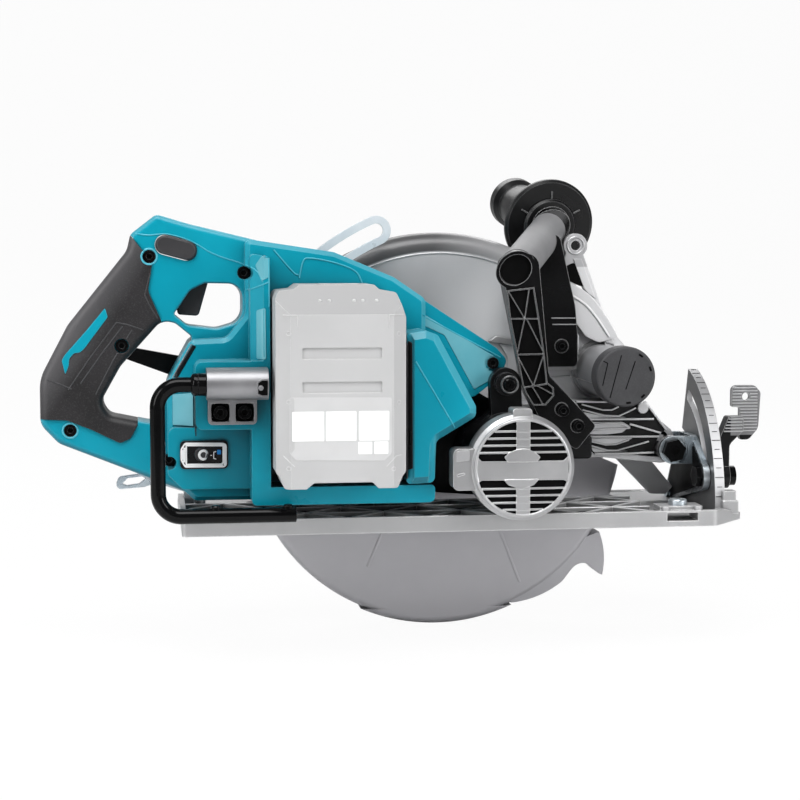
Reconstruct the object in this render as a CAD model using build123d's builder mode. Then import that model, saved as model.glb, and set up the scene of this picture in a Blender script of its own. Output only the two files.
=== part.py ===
from build123d import *
import os
from math import asin, atan2, cos, degrees, hypot, radians, sin, sqrt

os.makedirs("parts", exist_ok=True)

# Rear-handle cordless circular saw, in millimetres. x points forward, y to the blade side
# and z up. The origin is the middle of the sole, the underside of the base.

# Fits and clearances
running_fit = 0.05
seat_fit = 0.04
side_clearance = 0.4
guard_clearance = 2.5

# Base
base_length = 395
base_width = 158
base_floor = 4
base_rim_height = 11
base_rim_width = 4
far_rail_height = 5
base_corner_length = 27
base_corner_width = 30
base_nose_length = 22
rib_height = 10.5
rib_width = 2.4
rib_bay = 27
rib_row_count = 3
slot_near_y = 8
slot_far_y = 63
slot_end_room = 9
fence_x = 146
fence_slot_width = 22
fence_slot_height = 5.5
fence_bridge_depth = 17
fence_bridge_thickness = 4.2
fence_post_width = 4
fence_screw_radius = 2.5
sight_width = 32
sight_length = 10
sight_height = 13

# Blade and spindle
blade_diameter = 270
blade_thickness = 1.8
blade_bore_radius = 12.7
blade_teeth = 24
tooth_depth = 8
blade_y = 40
arbor_x = -8
arbor_z = 56.5
spindle_radius = 10
spindle_tail_radius = 6
inner_flange_radius = 24
outer_flange_radius = 22
flange_thickness = 4.5
blade_bolt_radius = 5
blade_bolt_head_radius = 9
blade_bolt_head_height = 6.6

# Gears
gear_module = 1.5
pinion_teeth = 9
spindle_gear_teeth = 43
gear_width = 10
gear_y = 13
pinion_bore_radius = 3
motor_direction = -17

# Motor
motor_shaft_radius = 5
motor_radius = 33
motor_wall = 3
motor_near_y = -79
gear_cover_near_y = -8
gear_case_split_y = 1.5
end_cover_radius = 36
end_cover_wall = 4
end_cover_depth = 19
end_cover_face = 3.5
louvre_pitch = 4.4
louvre_gap = 2.7
louvre_rows = 5
hub_band_height = 15
centre_bar_width = 8
stator_length = 46
stator_inner_radius = 16
stator_slots = 6
rotor_radius = 15
fan_radius = 27
fan_blades = 9

# Guards
guard_near_y = 25
guard_far_y = 56
guard_side_wall = 2.5
guard_rim_wall = 3
guard_near_round = 12
guard_far_round = 5
guard_skirt_z = 40
lower_guard_near_y = 30
lower_guard_far_y = 51
lower_guard_wall = 2
lower_guard_rim = 2.5
lower_guard_bulge = 2.5
lower_guard_round = 5
hub_boss_radius = 26
hub_ring_width = 6
far_ring_radius = 56
far_cutout_radius = 84
dust_port_x = 112
dust_port_z = 102
dust_port_radius = 19
dust_port_wall = 2.5
dust_port_near_y = -46
dust_cap_wall = 1.9
dust_cap_face = 6
dust_cap_skirt = 9
lug_x = 92
lug_z = 193.5
lug_radius = 8.8
lug_hole_radius = 3.5
lug_thickness = 7

# Depth and bevel frame
pivot_x = 157
pivot_z = 46
pivot_bolt_radius = 5
bevel_y = 43
bevel_z = 10
bevel_pin_radius = 4
bevel_ear_radius = 8
bevel_range = 50
bevel_bolt_angle = 14
bevel_bolt_radius = 4
quadrant_radius = 97
quadrant_inner_radius = 50
quadrant_slot_radius = 79
quadrant_end_angle = 73
quadrant_x = 177
quadrant_web = 4
quadrant_rim = 7
quadrant_rim_height = 6
bracket_thickness = 4.5
guide_pin_x = -170
guide_pin_z = 28
guide_pin_radius = 4
depth_bolt_x = -145
depth_bolt_z = 112
depth_bolt_radius = 4.6
depth_range = 22
guide_ratio = 0.53
guide_width = 21
guide_slot_width = 10
guide_y = 13
guide_thickness = 4

# Housing
split_y = -28
handle_half = 17
grip_thickness = 2.5
grip_proud = 1.5
body_near_y = -56
body_far_y = 1
wall = 3
cradle_near_y = -84
block_near_y = -92
panel_near_y = -64
nose_near_y = -40
nose_far_y = -9
screw_head_radius = 4
screw_head_height = 3
screw_shank_radius = 2
screw_boss_radius = 5

# Hook
hook_rod_radius = 5
hook_axis_y = -97
hook_axis_z = 103
hook_rear_x = -213
hook_bend = 15
hook_low_z = 16.5
hook_end_x = -123
clamp_rear_x = -181
clamp_front_x = -141
clamp_radius = 10.3

# Battery
battery_left_x = -137
battery_right_x = -52
battery_low_z = 36
battery_top_z = 168
battery_back_y = -58
battery_near_y = -120
battery_slope_drop = 19
battery_slope_run = 15
battery_side_cut = 9
battery_side_run = 7
rail_width = 59
rail_neck_width = 51
rail_neck_depth = 4.5
rail_depth = 9
rail_low_z = 42
rail_top_z = 146
release_travel = 3

# Front handle
arm_near_y = -52
arm_far_y = -36
tube_radius = 12.5
tube_bore_radius = 10
grip_core_radius = 8
front_grip_length = 100
front_grip_radius = 17
front_flange_radius = 34
front_knob_radius = 19.5
leg_near_y = 1
leg_step_y = 10
leg_far_y = 18
leg_screw_x = 78
leg_screw_z = 121


def across(y):
    """Sketch plane facing the right side of the saw: sketch x is x, sketch y is z."""
    return Plane.XZ.offset(-y)


def forward(x):
    """Sketch plane facing forward: sketch x is y, sketch y is z."""
    return Plane.YZ.offset(x)


def turned(x, z):
    """Sketch plane for turned pieces on a cross axis: sketch x is radius, sketch y is y."""
    return Plane((x, 0, z))


def cross_axis(x, z):
    return Axis((x, 0, z), (0, 1, 0))


def polar(centre, radius, angle):
    return (centre[0] + radius * cos(radians(angle)), centre[1] + radius * sin(radians(angle)))


def turn(point, centre, angle):
    """A point turned about a centre, counter-clockwise as seen from the right side."""
    dx = point[0] - centre[0]
    dz = point[1] - centre[1]
    return polar(centre, hypot(dx, dz), degrees(atan2(dz, dx)) + angle)


def outline(corners, grow=0):
    """A closed shape from corners (across, up, corner radius), grown or shrunk by an offset."""
    with BuildSketch() as flat:
        with BuildLine():
            FilletPolyline(
                *[(u, v) for u, v, r in corners], radius=[r for u, v, r in corners], close=True
            )
        make_face()
        if grow:
            offset(amount=grow, mode=Mode.REPLACE)
    return flat.sketch


def bar(start, end, width):
    """A round-ended bar between two points."""
    with BuildSketch() as flat:
        with Locations(((start[0] + end[0]) / 2, (start[1] + end[1]) / 2)):
            SlotCenterToCenter(
                hypot(end[0] - start[0], end[1] - start[1]),
                width,
                rotation=degrees(atan2(end[1] - start[1], end[0] - start[0])),
            )
    return flat.sketch


def strip(start, end, width):
    """A square-ended strip between two points."""
    with BuildSketch() as flat:
        with Locations(((start[0] + end[0]) / 2, (start[1] + end[1]) / 2)):
            Rectangle(
                hypot(end[0] - start[0], end[1] - start[1]),
                width,
                rotation=degrees(atan2(end[1] - start[1], end[0] - start[0])),
            )
    return flat.sketch


def gear_outline(teeth, tooth_share, phase):
    """A toothed wheel about the sketch origin, with straight flanks and room for backlash."""
    pitch = gear_module * teeth / 2
    tip = pitch + 0.85 * gear_module
    root = pitch - 1.2 * gear_module
    step = 360 / teeth
    points = []
    for tooth in range(teeth):
        middle = phase + tooth * step
        half_root = step * tooth_share * 0.78
        half_tip = step * tooth_share * 0.36
        points.append(polar((0, 0), root, middle - half_root))
        points.append(polar((0, 0), tip, middle - half_tip))
        points.append(polar((0, 0), tip, middle + half_tip))
        points.append(polar((0, 0), root, middle + half_root))
    with BuildSketch() as flat:
        with BuildLine():
            Polyline(*points, close=True)
        make_face()
    return flat.sketch


def finish(piece, name):
    piece.part.label = name
    export_step(piece.part, f"parts/{name}.step")


# Places that several pieces share
arbor = (arbor_x, arbor_z)
arbor_axis = cross_axis(arbor_x, arbor_z)
gear_distance = gear_module * (pinion_teeth + spindle_gear_teeth) / 2
motor = polar(arbor, gear_distance, motor_direction)
motor_axis = cross_axis(*motor)
pivot = (pivot_x, pivot_z)
bevel_axis_point = (bevel_y, bevel_z)
bevel_bolt = polar(bevel_axis_point, quadrant_slot_radius, 180 - bevel_bolt_angle)
guide_pin_point = (guide_pin_x, guide_pin_z)
depth_bolt_point = (depth_bolt_x, depth_bolt_z)
dust_port = (dust_port_x, dust_port_z)
lug_point = (lug_x, lug_z)
leg_screw_place = (leg_screw_x, leg_screw_z)
blade_radius = blade_diameter / 2
lower_inner_radius = blade_radius + guard_clearance
lower_radius = lower_inner_radius + lower_guard_rim
bulge_radius = lower_radius + lower_guard_bulge
upper_inner_radius = bulge_radius + 1
upper_radius = upper_inner_radius + guard_rim_wall
slot_half = sqrt(bulge_radius**2 - arbor_z**2)
slot_rear_x = arbor_x - slot_half - slot_end_room
slot_front_x = arbor_x + slot_half + slot_end_room
front_bracket_x = quadrant_x - 0.5 - bracket_thickness
rear_bracket_x = -base_length / 2 + 12
blade_near_y = blade_y - blade_thickness / 2
blade_far_y = blade_y + blade_thickness / 2

# Base plate
base_corners = [
    (-base_length / 2, -base_width / 2, 3),
    (base_length / 2 - base_corner_length, -base_width / 2, 6),
    (base_length / 2, -base_width / 2 + base_corner_width, 6),
    (base_length / 2, base_width / 2 - base_corner_width, 6),
    (base_length / 2 - base_corner_length, base_width / 2, 6),
    (-base_length / 2, base_width / 2, 3),
]
ear_room = 2
base_nose_corners = [
    (base_length / 2 - base_nose_length, base_rim_height, 0),
    (base_length / 2, base_floor + 0.5, 0),
    (base_length / 2 + 1, base_rim_height + 1, 0),
    (base_length / 2 - base_nose_length, base_rim_height + 1, 0),
]
near_rim_y = -base_width / 2 + base_rim_width
rib_row_step = (slot_near_y - rib_width - near_rim_y) / rib_row_count
rib_rows = [near_rim_y + row * rib_row_step for row in range(rib_row_count + 1)]
rib_start_x = -base_length / 2 + base_rim_width
rib_end_x = fence_x - fence_slot_width / 2 - fence_post_width
rib_bays = int((rib_end_x - rib_start_x) / rib_bay)
with BuildPart() as base_plate:
    with BuildSketch():
        add(outline(base_corners))
    extrude(amount=base_rim_height)
    with BuildSketch(Plane.XY.offset(base_floor)):
        add(outline(base_corners, -base_rim_width))
    extrude(amount=base_rim_height, mode=Mode.SUBTRACT)
    with BuildSketch(Plane.XY.offset(far_rail_height)):
        with Locations((0, base_width / 2)):
            Rectangle(base_length + 1, 2 * (base_width / 2 - slot_far_y + 4))
    extrude(amount=base_rim_height, mode=Mode.SUBTRACT)
    with BuildSketch(Plane.XY.offset(base_floor)):
        for row in range(rib_row_count):
            for bay in range(rib_bays):
                rib_a = (rib_start_x + bay * rib_bay, rib_rows[row + (bay + row) % 2])
                rib_b = (rib_start_x + (bay + 1) * rib_bay, rib_rows[row + (bay + row + 1) % 2])
                add(strip(rib_a, rib_b, rib_width))
        for rib_y in rib_rows[1:]:
            add(strip((rib_start_x, rib_y), (rib_end_x, rib_y), rib_width))
    extrude(amount=rib_height - base_floor)
    with BuildSketch(Plane.XY.offset(base_floor)):
        for side in (-1, 1):
            with Locations(
                (
                    fence_x + side * (fence_slot_width + fence_post_width) / 2,
                    near_rim_y + fence_bridge_depth / 2,
                )
            ):
                Rectangle(fence_post_width, fence_bridge_depth)
    extrude(amount=fence_slot_height + fence_bridge_thickness)
    with BuildSketch(Plane.XY.offset(base_floor + fence_slot_height)):
        with Locations((fence_x, near_rim_y + fence_bridge_depth / 2)):
            Rectangle(fence_slot_width + 2 * fence_post_width, fence_bridge_depth)
            Circle(fence_screw_radius + running_fit, mode=Mode.SUBTRACT)
    extrude(amount=fence_bridge_thickness)
    with BuildSketch(across(0)):
        with Locations((fence_x, base_floor + fence_slot_height / 2)):
            Rectangle(fence_slot_width, fence_slot_height)
        add(outline(base_nose_corners))
    extrude(amount=base_width, mode=Mode.SUBTRACT)
    with BuildSketch(forward(base_length / 2 - base_rim_width)):
        with Locations((blade_y, base_floor + (sight_height - base_floor) / 2)):
            Rectangle(sight_width, sight_height - base_floor)
        with Locations((blade_y, sight_height)):
            Rectangle(sight_width / 2, sight_height / 2, mode=Mode.SUBTRACT)
    extrude(amount=-sight_length)
    with BuildSketch():
        with Locations(
            ((slot_rear_x + slot_front_x) / 2, (slot_near_y + slot_far_y) / 2)
        ):
            RectangleRounded(slot_front_x - slot_rear_x, slot_far_y - slot_near_y, 8)
        for ear_x in (front_bracket_x, rear_bracket_x):
            with Locations((ear_x + bracket_thickness / 2, bevel_y)):
                Rectangle(
                    bracket_thickness + 1.2, 2 * (bevel_ear_radius + ear_room)
                )
    extrude(amount=base_rim_height, mode=Mode.SUBTRACT)
    with BuildSketch(forward(rear_bracket_x - 0.6)):
        with Locations((bevel_y, bevel_z)):
            Circle(bevel_ear_radius)
        with Locations((bevel_y, (base_floor + bevel_z) / 2)):
            Rectangle(2 * bevel_ear_radius, bevel_z - base_floor)
        with Locations((bevel_y, bevel_z)):
            Circle(bevel_pin_radius + running_fit, mode=Mode.SUBTRACT)
    extrude(amount=-(rear_bracket_x - 0.6 + base_length / 2 - base_rim_width))
finish(base_plate, "base_plate")

# Fence clamp screw, a slotted round head on the bridge
fence_head_radius = 6.5
fence_head_height = 4
fence_screw_low_z = base_floor + fence_slot_height + 0.3
fence_bridge_top_z = base_floor + fence_slot_height + fence_bridge_thickness
fence_screw_y = near_rim_y + fence_bridge_depth / 2
with BuildPart() as fence_clamp_screw:
    with BuildSketch(Plane.XY.offset(fence_screw_low_z)):
        with Locations((fence_x, fence_screw_y)):
            Circle(fence_screw_radius)
    extrude(amount=fence_bridge_top_z - fence_screw_low_z)
    with BuildSketch(Plane.XY.offset(fence_bridge_top_z)):
        with Locations((fence_x, fence_screw_y)):
            Circle(fence_head_radius)
    extrude(amount=fence_head_height)
    chamfer(faces().sort_by(Axis.Z)[-1].edges(), 0.8)
    with BuildSketch(Plane.XY.offset(fence_bridge_top_z + fence_head_height)):
        with Locations((fence_x, fence_screw_y)):
            Rectangle(2 * fence_head_radius, 1.6)
    extrude(amount=-1.6, mode=Mode.SUBTRACT)
finish(fence_clamp_screw, "fence_clamp_screw")

# Bevel quadrant, standing on the front of the base and centred on the bevel axis
quadrant_slot_start = bevel_bolt_angle - 3
quadrant_slot_end = bevel_bolt_angle + bevel_range + 3
quadrant_slot_width = 2 * bevel_bolt_radius + 2 * side_clearance
slot_centre_line = Edge.make_circle(
    quadrant_slot_radius,
    Plane(bevel_axis_point),
    180 - quadrant_slot_end,
    180 - quadrant_slot_start,
)


def quadrant_sector(inner, outer):
    """A ring sector about the bevel axis, from level up to the end of the quadrant."""
    with BuildSketch() as flat:
        with BuildLine():
            CenterArc(bevel_axis_point, outer, 180 - quadrant_end_angle, quadrant_end_angle)
            CenterArc(bevel_axis_point, inner, 180 - quadrant_end_angle, quadrant_end_angle)
            for angle in (180 - quadrant_end_angle, 180):
                Line(
                    polar(bevel_axis_point, inner, angle), polar(bevel_axis_point, outer, angle)
                )
        make_face()
    return flat.sketch


with BuildPart() as bevel_quadrant:
    with BuildSketch(forward(quadrant_x)):
        add(quadrant_sector(quadrant_inner_radius, quadrant_radius))
        with Locations(((bevel_y - quadrant_radius) / 2 + bevel_y / 2, (base_floor + 18) / 2)):
            Rectangle(quadrant_radius, 18 - base_floor)
        with Locations(bevel_axis_point):
            Circle(bevel_ear_radius + 1)
        with Locations((bevel_y, bevel_z / 2 + base_floor / 2)):
            Rectangle(2 * bevel_ear_radius + 2, bevel_z - base_floor)
        SlotArc(slot_centre_line, quadrant_slot_width, mode=Mode.SUBTRACT)
        with Locations(bevel_axis_point):
            Circle(bevel_pin_radius + running_fit, mode=Mode.SUBTRACT)
        with Locations((bevel_y - 55, base_floor - 20)):
            Rectangle(120, 40, mode=Mode.SUBTRACT)
        with Locations((bevel_y, base_floor - 20)):
            Rectangle(60, 40, mode=Mode.SUBTRACT)
    extrude(amount=quadrant_web)
    with BuildSketch(forward(quadrant_x)):
        add(quadrant_sector(quadrant_radius - quadrant_rim_height, quadrant_radius))
    extrude(amount=quadrant_rim)
finish(bevel_quadrant, "bevel_quadrant")

# Front bracket: a plate across the saw that carries the depth pivot, the bevel pin and bolt
lug_gap = 0.3
pivot_boss_near_y = -12
pivot_boss_far_y = 18
pivot_lug_width = 3.7
pivot_lug_radius = 10
with BuildPart() as front_bracket:
    with BuildSketch(forward(front_bracket_x)):
        with Locations(bevel_bolt):
            Circle(10)
        with Locations((-8, pivot_z + 1), (18, pivot_z + 1)):
            Circle(9)
        with Locations(bevel_axis_point):
            Circle(bevel_ear_radius)
        make_hull()
        with Locations(bevel_axis_point):
            Circle(bevel_pin_radius + seat_fit, mode=Mode.SUBTRACT)
        with Locations(bevel_bolt):
            Circle(bevel_bolt_radius + seat_fit, mode=Mode.SUBTRACT)
    extrude(amount=bracket_thickness)
    for lug_y in (pivot_boss_near_y - lug_gap, pivot_boss_far_y + lug_gap + pivot_lug_width):
        with BuildSketch(across(lug_y)):
            with Locations(pivot):
                Circle(pivot_lug_radius)
            with Locations(((pivot_x + front_bracket_x) / 2 + 0.5, pivot_z)):
                Rectangle(front_bracket_x - pivot_x + 1, 2 * pivot_lug_radius)
            with Locations(pivot):
                Circle(pivot_bolt_radius + seat_fit, mode=Mode.SUBTRACT)
        extrude(amount=pivot_lug_width)
finish(front_bracket, "front_bracket")

# Depth pivot bolt, a hexagon bolt across the front bracket
pivot_bolt_near_y = pivot_boss_near_y - lug_gap - pivot_lug_width
pivot_bolt_far_y = pivot_boss_far_y + lug_gap + pivot_lug_width
with BuildPart() as pivot_bolt:
    with BuildSketch(across(pivot_bolt_far_y + 3)):
        with Locations(pivot):
            Circle(pivot_bolt_radius)
    extrude(amount=pivot_bolt_far_y + 3 - pivot_bolt_near_y + 5)
    with BuildSketch(across(pivot_bolt_near_y)):
        with Locations(pivot):
            RegularPolygon(8.6, 6, rotation=12)
    extrude(amount=5.5)
    with BuildSketch(across(pivot_bolt_far_y + 3)):
        with Locations(pivot):
            Circle(8)
    extrude(amount=3)
finish(pivot_bolt, "pivot_bolt")

# Bevel pivot pins, one through each bracket ear
pin_head = 3
with BuildPart() as bevel_pin_front:
    with BuildSketch(forward(front_bracket_x - pin_head)):
        with Locations(bevel_axis_point):
            Circle(bevel_pin_radius + 2)
    extrude(amount=pin_head)
    with BuildSketch(forward(front_bracket_x)):
        with Locations(bevel_axis_point):
            Circle(bevel_pin_radius)
    extrude(amount=quadrant_x + quadrant_web + 1 - front_bracket_x)
finish(bevel_pin_front, "bevel_pin_front")

with BuildPart() as bevel_pin_rear:
    with BuildSketch(forward(rear_bracket_x + bracket_thickness)):
        with Locations(bevel_axis_point):
            Circle(bevel_pin_radius + 2)
    extrude(amount=pin_head)
    with BuildSketch(forward(rear_bracket_x + bracket_thickness)):
        with Locations(bevel_axis_point):
            Circle(bevel_pin_radius)
    extrude(amount=-(rear_bracket_x + bracket_thickness + base_length / 2 - base_rim_width - 0.5))
finish(bevel_pin_rear, "bevel_pin_rear")

# Bevel clamp bolt, its head behind the bracket and its shank through the quadrant slot
bevel_washer_x = quadrant_x + quadrant_web + 0.3
bevel_lever_x = quadrant_x + quadrant_rim + 0.8
bevel_hub_length = 7
with BuildPart() as bevel_clamp_bolt:
    with BuildSketch(forward(front_bracket_x - 4.5)):
        with Locations(bevel_bolt):
            RegularPolygon(8, 6)
    extrude(amount=4.5)
    with BuildSketch(forward(front_bracket_x)):
        with Locations(bevel_bolt):
            Circle(bevel_bolt_radius)
    extrude(amount=bevel_lever_x + bevel_hub_length + 5 - front_bracket_x)
    with BuildSketch(forward(bevel_washer_x)):
        with Locations(bevel_bolt):
            Circle(9)
    extrude(amount=bevel_lever_x - bevel_washer_x - 0.2)
    with BuildSketch(forward(bevel_lever_x + bevel_hub_length + 0.2)):
        with Locations(bevel_bolt):
            Circle(7)
    extrude(amount=4.8)
finish(bevel_clamp_bolt, "bevel_clamp_bolt")

# Bevel clamp lever: a hub on the bolt, an upright arm and a ribbed thumb tab
bevel_hub_radius = 9
bevel_arm_width = 11
bevel_tab_thickness = 4
bevel_tab_far_y = bevel_bolt[0] + bevel_tab_thickness / 2
bevel_arm_corners = [
    (bevel_lever_x, bevel_bolt[1], 0.5),
    (bevel_lever_x, 57, 4),
    (191, 72, 2),
    (202, 72, 1),
    (202, 62, 1),
    (bevel_lever_x + bevel_hub_length, 52, 6),
    (bevel_lever_x + bevel_hub_length, bevel_bolt[1], 0.5),
]
bevel_tab_corners = [
    (194, 94, 4),
    (211, 94, 4),
    (215.5, 89, 4),
    (214, 63, 8),
    (207, 55, 5),
    (200, 55, 2),
    (200, 78.5, 1.5),
    (194, 78.5, 1.5),
]
bevel_tab_hole = (204.5, 86)
with BuildPart() as bevel_lever:
    with BuildSketch(forward(bevel_lever_x)):
        with Locations(bevel_bolt):
            Circle(bevel_hub_radius)
    extrude(amount=bevel_hub_length)
    with BuildSketch(across(bevel_bolt[0] + bevel_arm_width / 2)):
        add(outline(bevel_arm_corners))
    extrude(amount=bevel_arm_width)
    with BuildSketch(forward(bevel_lever_x)):
        with Locations(bevel_bolt):
            Circle(bevel_bolt_radius + running_fit)
    extrude(amount=bevel_hub_length, mode=Mode.SUBTRACT)
    with BuildSketch(across(bevel_tab_far_y)):
        add(outline(bevel_tab_corners))
        with Locations(bevel_tab_hole):
            Circle(2.8, mode=Mode.SUBTRACT)
    extrude(amount=bevel_tab_thickness)
finish(bevel_lever, "bevel_lever")

# Rear bracket: an upright plate with the guide lug and a cranked zinc tab to the rear
rear_lug_near_y = 14
rear_lug_width = 4
tab_thickness = 4
tab_near_y = 3
tab_corners = [
    (rear_bracket_x - 57.5, 22, 3.5),
    (rear_bracket_x - 54.5, 31, 4),
    (rear_bracket_x - 32.5, 34, 5),
    (rear_bracket_x - 4.5, 26, 4),
    (rear_bracket_x + bracket_thickness, 26, 0.5),
    (rear_bracket_x + bracket_thickness, 17, 0.5),
    (rear_bracket_x - 4.5, 18.5, 4),
    (rear_bracket_x - 28.5, 26, 5),
    (rear_bracket_x - 36.5, 23.5, 4),
]
tab_hole_corners = [
    (rear_bracket_x - 52, 26, 0.6),
    (rear_bracket_x - 48, 30, 0.6),
    (rear_bracket_x - 38, 31, 0.6),
    (rear_bracket_x - 35.5, 29.5, 0.6),
    (rear_bracket_x - 40, 26, 0.6),
    (rear_bracket_x - 48.5, 24.8, 0.6),
]
with BuildPart() as rear_bracket:
    with BuildSketch(forward(rear_bracket_x)):
        with Locations(bevel_axis_point):
            Circle(bevel_ear_radius)
        with Locations((12, guide_pin_z), (rear_lug_near_y, guide_pin_z - 6)):
            Circle(11)
        make_hull()
        with Locations(bevel_axis_point):
            Circle(bevel_pin_radius + seat_fit, mode=Mode.SUBTRACT)
    extrude(amount=bracket_thickness)
    with BuildSketch(across(rear_lug_near_y + rear_lug_width)):
        with Locations(guide_pin_point):
            Circle(10)
        with Locations(((guide_pin_x + rear_bracket_x + bracket_thickness) / 2 - 0.5, guide_pin_z)):
            Rectangle(guide_pin_x - rear_bracket_x - bracket_thickness + 1, 20)
        with Locations(guide_pin_point):
            Circle(guide_pin_radius + seat_fit, mode=Mode.SUBTRACT)
    extrude(amount=rear_lug_width)
    with BuildSketch(across(tab_near_y + tab_thickness)):
        add(outline(tab_corners))
        add(outline(tab_hole_corners), mode=Mode.SUBTRACT)
    extrude(amount=tab_thickness)
finish(rear_bracket, "rear_bracket")

# Guide pin, the lower pivot of the depth guide
guide_near_y = guide_y - guide_thickness
with BuildPart() as guide_pin:
    with BuildSketch(across(rear_lug_near_y + rear_lug_width)):
        with Locations(guide_pin_point):
            Circle(guide_pin_radius)
    extrude(amount=rear_lug_near_y + rear_lug_width - guide_near_y + 2)
    with BuildSketch(across(guide_near_y - 0.3)):
        with Locations(guide_pin_point):
            Circle(7)
    extrude(amount=2.5)
finish(guide_pin, "guide_pin")


# Depth guide: its slot follows the clamp bolt while the base frame swings about the pivot
def guide_place(angle):
    """Where the clamp bolt lies on the guide after the frame has swung down by an angle."""
    on_frame = turn(depth_bolt_point, pivot, -angle)
    return turn(on_frame, guide_pin_point, -guide_ratio * angle)


guide_path = [guide_place(depth_range * step / 2) for step in (0, 1, 2)]
guide_overrun = 0.9
guide_ends = [guide_place(-guide_overrun), guide_path[1], guide_place(depth_range + guide_overrun)]
guide_line = Edge.make_three_point_arc(*guide_ends)
with BuildPart() as depth_guide:
    with BuildSketch(across(guide_y)):
        add(bar(guide_pin_point, guide_path[0], guide_width))
        SlotArc(guide_line, guide_width)
        with Locations(guide_pin_point):
            Circle(guide_pin_radius + running_fit, mode=Mode.SUBTRACT)
        SlotArc(guide_line, guide_slot_width, mode=Mode.SUBTRACT)
    extrude(amount=guide_thickness)
finish(depth_guide, "depth_guide")

# Depth clamp bolt, fixed to the upper guard and passing through the guide slot
depth_ear_near_y = guide_y + 1
depth_lever_near_y = 2.2
depth_lever_width = 5.5
with BuildPart() as depth_bolt:
    with BuildSketch(across(guard_near_y - 1)):
        with Locations(depth_bolt_point):
            Circle(depth_bolt_radius)
    extrude(amount=guard_near_y - 1 - depth_lever_near_y)
finish(depth_bolt, "depth_bolt")

# Depth lock lever, a flat handle on the clamp bolt that points to the rear
depth_lever_bend = (depth_bolt_x - 52, depth_bolt_z - 3.5)
depth_lever_end = (depth_bolt_x - 86, depth_bolt_z + 6)
with BuildPart() as depth_lever:
    for start, start_radius, end, end_radius in (
        (depth_bolt_point, 12, depth_lever_bend, 7.5),
        (depth_lever_bend, 7.5, depth_lever_end, 4.5),
    ):
        with BuildSketch(across(depth_lever_near_y + depth_lever_width)):
            with Locations(start):
                Circle(start_radius)
            with Locations(end):
                Circle(end_radius)
            make_hull()
        extrude(amount=depth_lever_width)
    with BuildSketch(across(depth_lever_near_y + depth_lever_width)):
        with Locations(depth_bolt_point):
            Circle(depth_bolt_radius + running_fit)
    extrude(amount=depth_lever_width, mode=Mode.SUBTRACT)
finish(depth_lever, "depth_lever")

# Blade: a toothed disc with raked teeth and round gullets
tooth_step = 360 / blade_teeth
tooth_root_radius = blade_radius - tooth_depth - 2


def blade_tooth():
    """One tooth about the blade centre, its tip on the sketch x axis."""
    tip = (blade_radius, 0)
    back = polar((0, 0), blade_radius - 1.2, -tooth_step * 0.3)
    dip = polar((0, 0), blade_radius - 5, -tooth_step * 0.6)
    heel = polar((0, 0), tooth_root_radius, -tooth_step * 0.78)
    face = polar((0, 0), blade_radius - tooth_depth + 1, -tooth_step * 0.06)
    with BuildSketch() as flat:
        with BuildLine():
            Line(tip, back)
            ThreePointArc(back, dip, heel)
            Polyline(heel, polar((0, 0), tooth_root_radius, tooth_step * 0.02), face, tip)
        make_face()
    return flat.sketch


with BuildPart() as blade:
    with BuildSketch(across(blade_far_y)):
        with Locations(arbor):
            Circle(blade_radius - tooth_depth)
            with PolarLocations(0, blade_teeth):
                add(blade_tooth())
            Circle(blade_bore_radius + seat_fit, mode=Mode.SUBTRACT)
    extrude(amount=blade_thickness)
finish(blade, "blade")

# Blade flanges: the inner one carries a spigot that centres the blade
inner_flange_near_y = blade_near_y - flange_thickness
spindle_far_y = inner_flange_near_y + 3.4
with BuildPart() as inner_flange:
    with BuildSketch(turned(*arbor)):
        with BuildLine():
            Polyline(
                (spindle_radius + seat_fit, inner_flange_near_y),
                (inner_flange_radius - 3, inner_flange_near_y),
                (inner_flange_radius, inner_flange_near_y + 1.5),
                (inner_flange_radius, blade_near_y),
                (blade_bore_radius, blade_near_y),
                (blade_bore_radius, blade_far_y - 0.2),
                (blade_bolt_radius + seat_fit, blade_far_y - 0.2),
                (blade_bolt_radius + seat_fit, spindle_far_y),
                (spindle_radius + seat_fit, spindle_far_y),
                close=True,
            )
        make_face()
    revolve(axis=arbor_axis)
finish(inner_flange, "inner_flange")

with BuildPart() as outer_flange:
    with BuildSketch(turned(*arbor)):
        with BuildLine():
            Polyline(
                (blade_bolt_radius + seat_fit, blade_far_y),
                (outer_flange_radius, blade_far_y),
                (outer_flange_radius, blade_far_y + 2.5),
                (outer_flange_radius - 4, blade_far_y + flange_thickness),
                (blade_bolt_radius + seat_fit, blade_far_y + flange_thickness),
                close=True,
            )
        make_face()
    revolve(axis=arbor_axis)
finish(outer_flange, "outer_flange")

bolt_seat_y = blade_far_y + flange_thickness
bolt_reach_y = 20
with BuildPart() as blade_bolt:
    with BuildSketch(across(bolt_seat_y)):
        with Locations(arbor):
            Circle(blade_bolt_radius)
    extrude(amount=bolt_seat_y - bolt_reach_y)
    with BuildSketch(across(bolt_seat_y + blade_bolt_head_height)):
        with Locations(arbor):
            RegularPolygon(blade_bolt_head_radius, 6)
    extrude(amount=blade_bolt_head_height)
    with BuildSketch(across(bolt_seat_y + 1.8)):
        with Locations(arbor):
            Circle(12)
    extrude(amount=1.8)
finish(blade_bolt, "blade_bolt")

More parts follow.
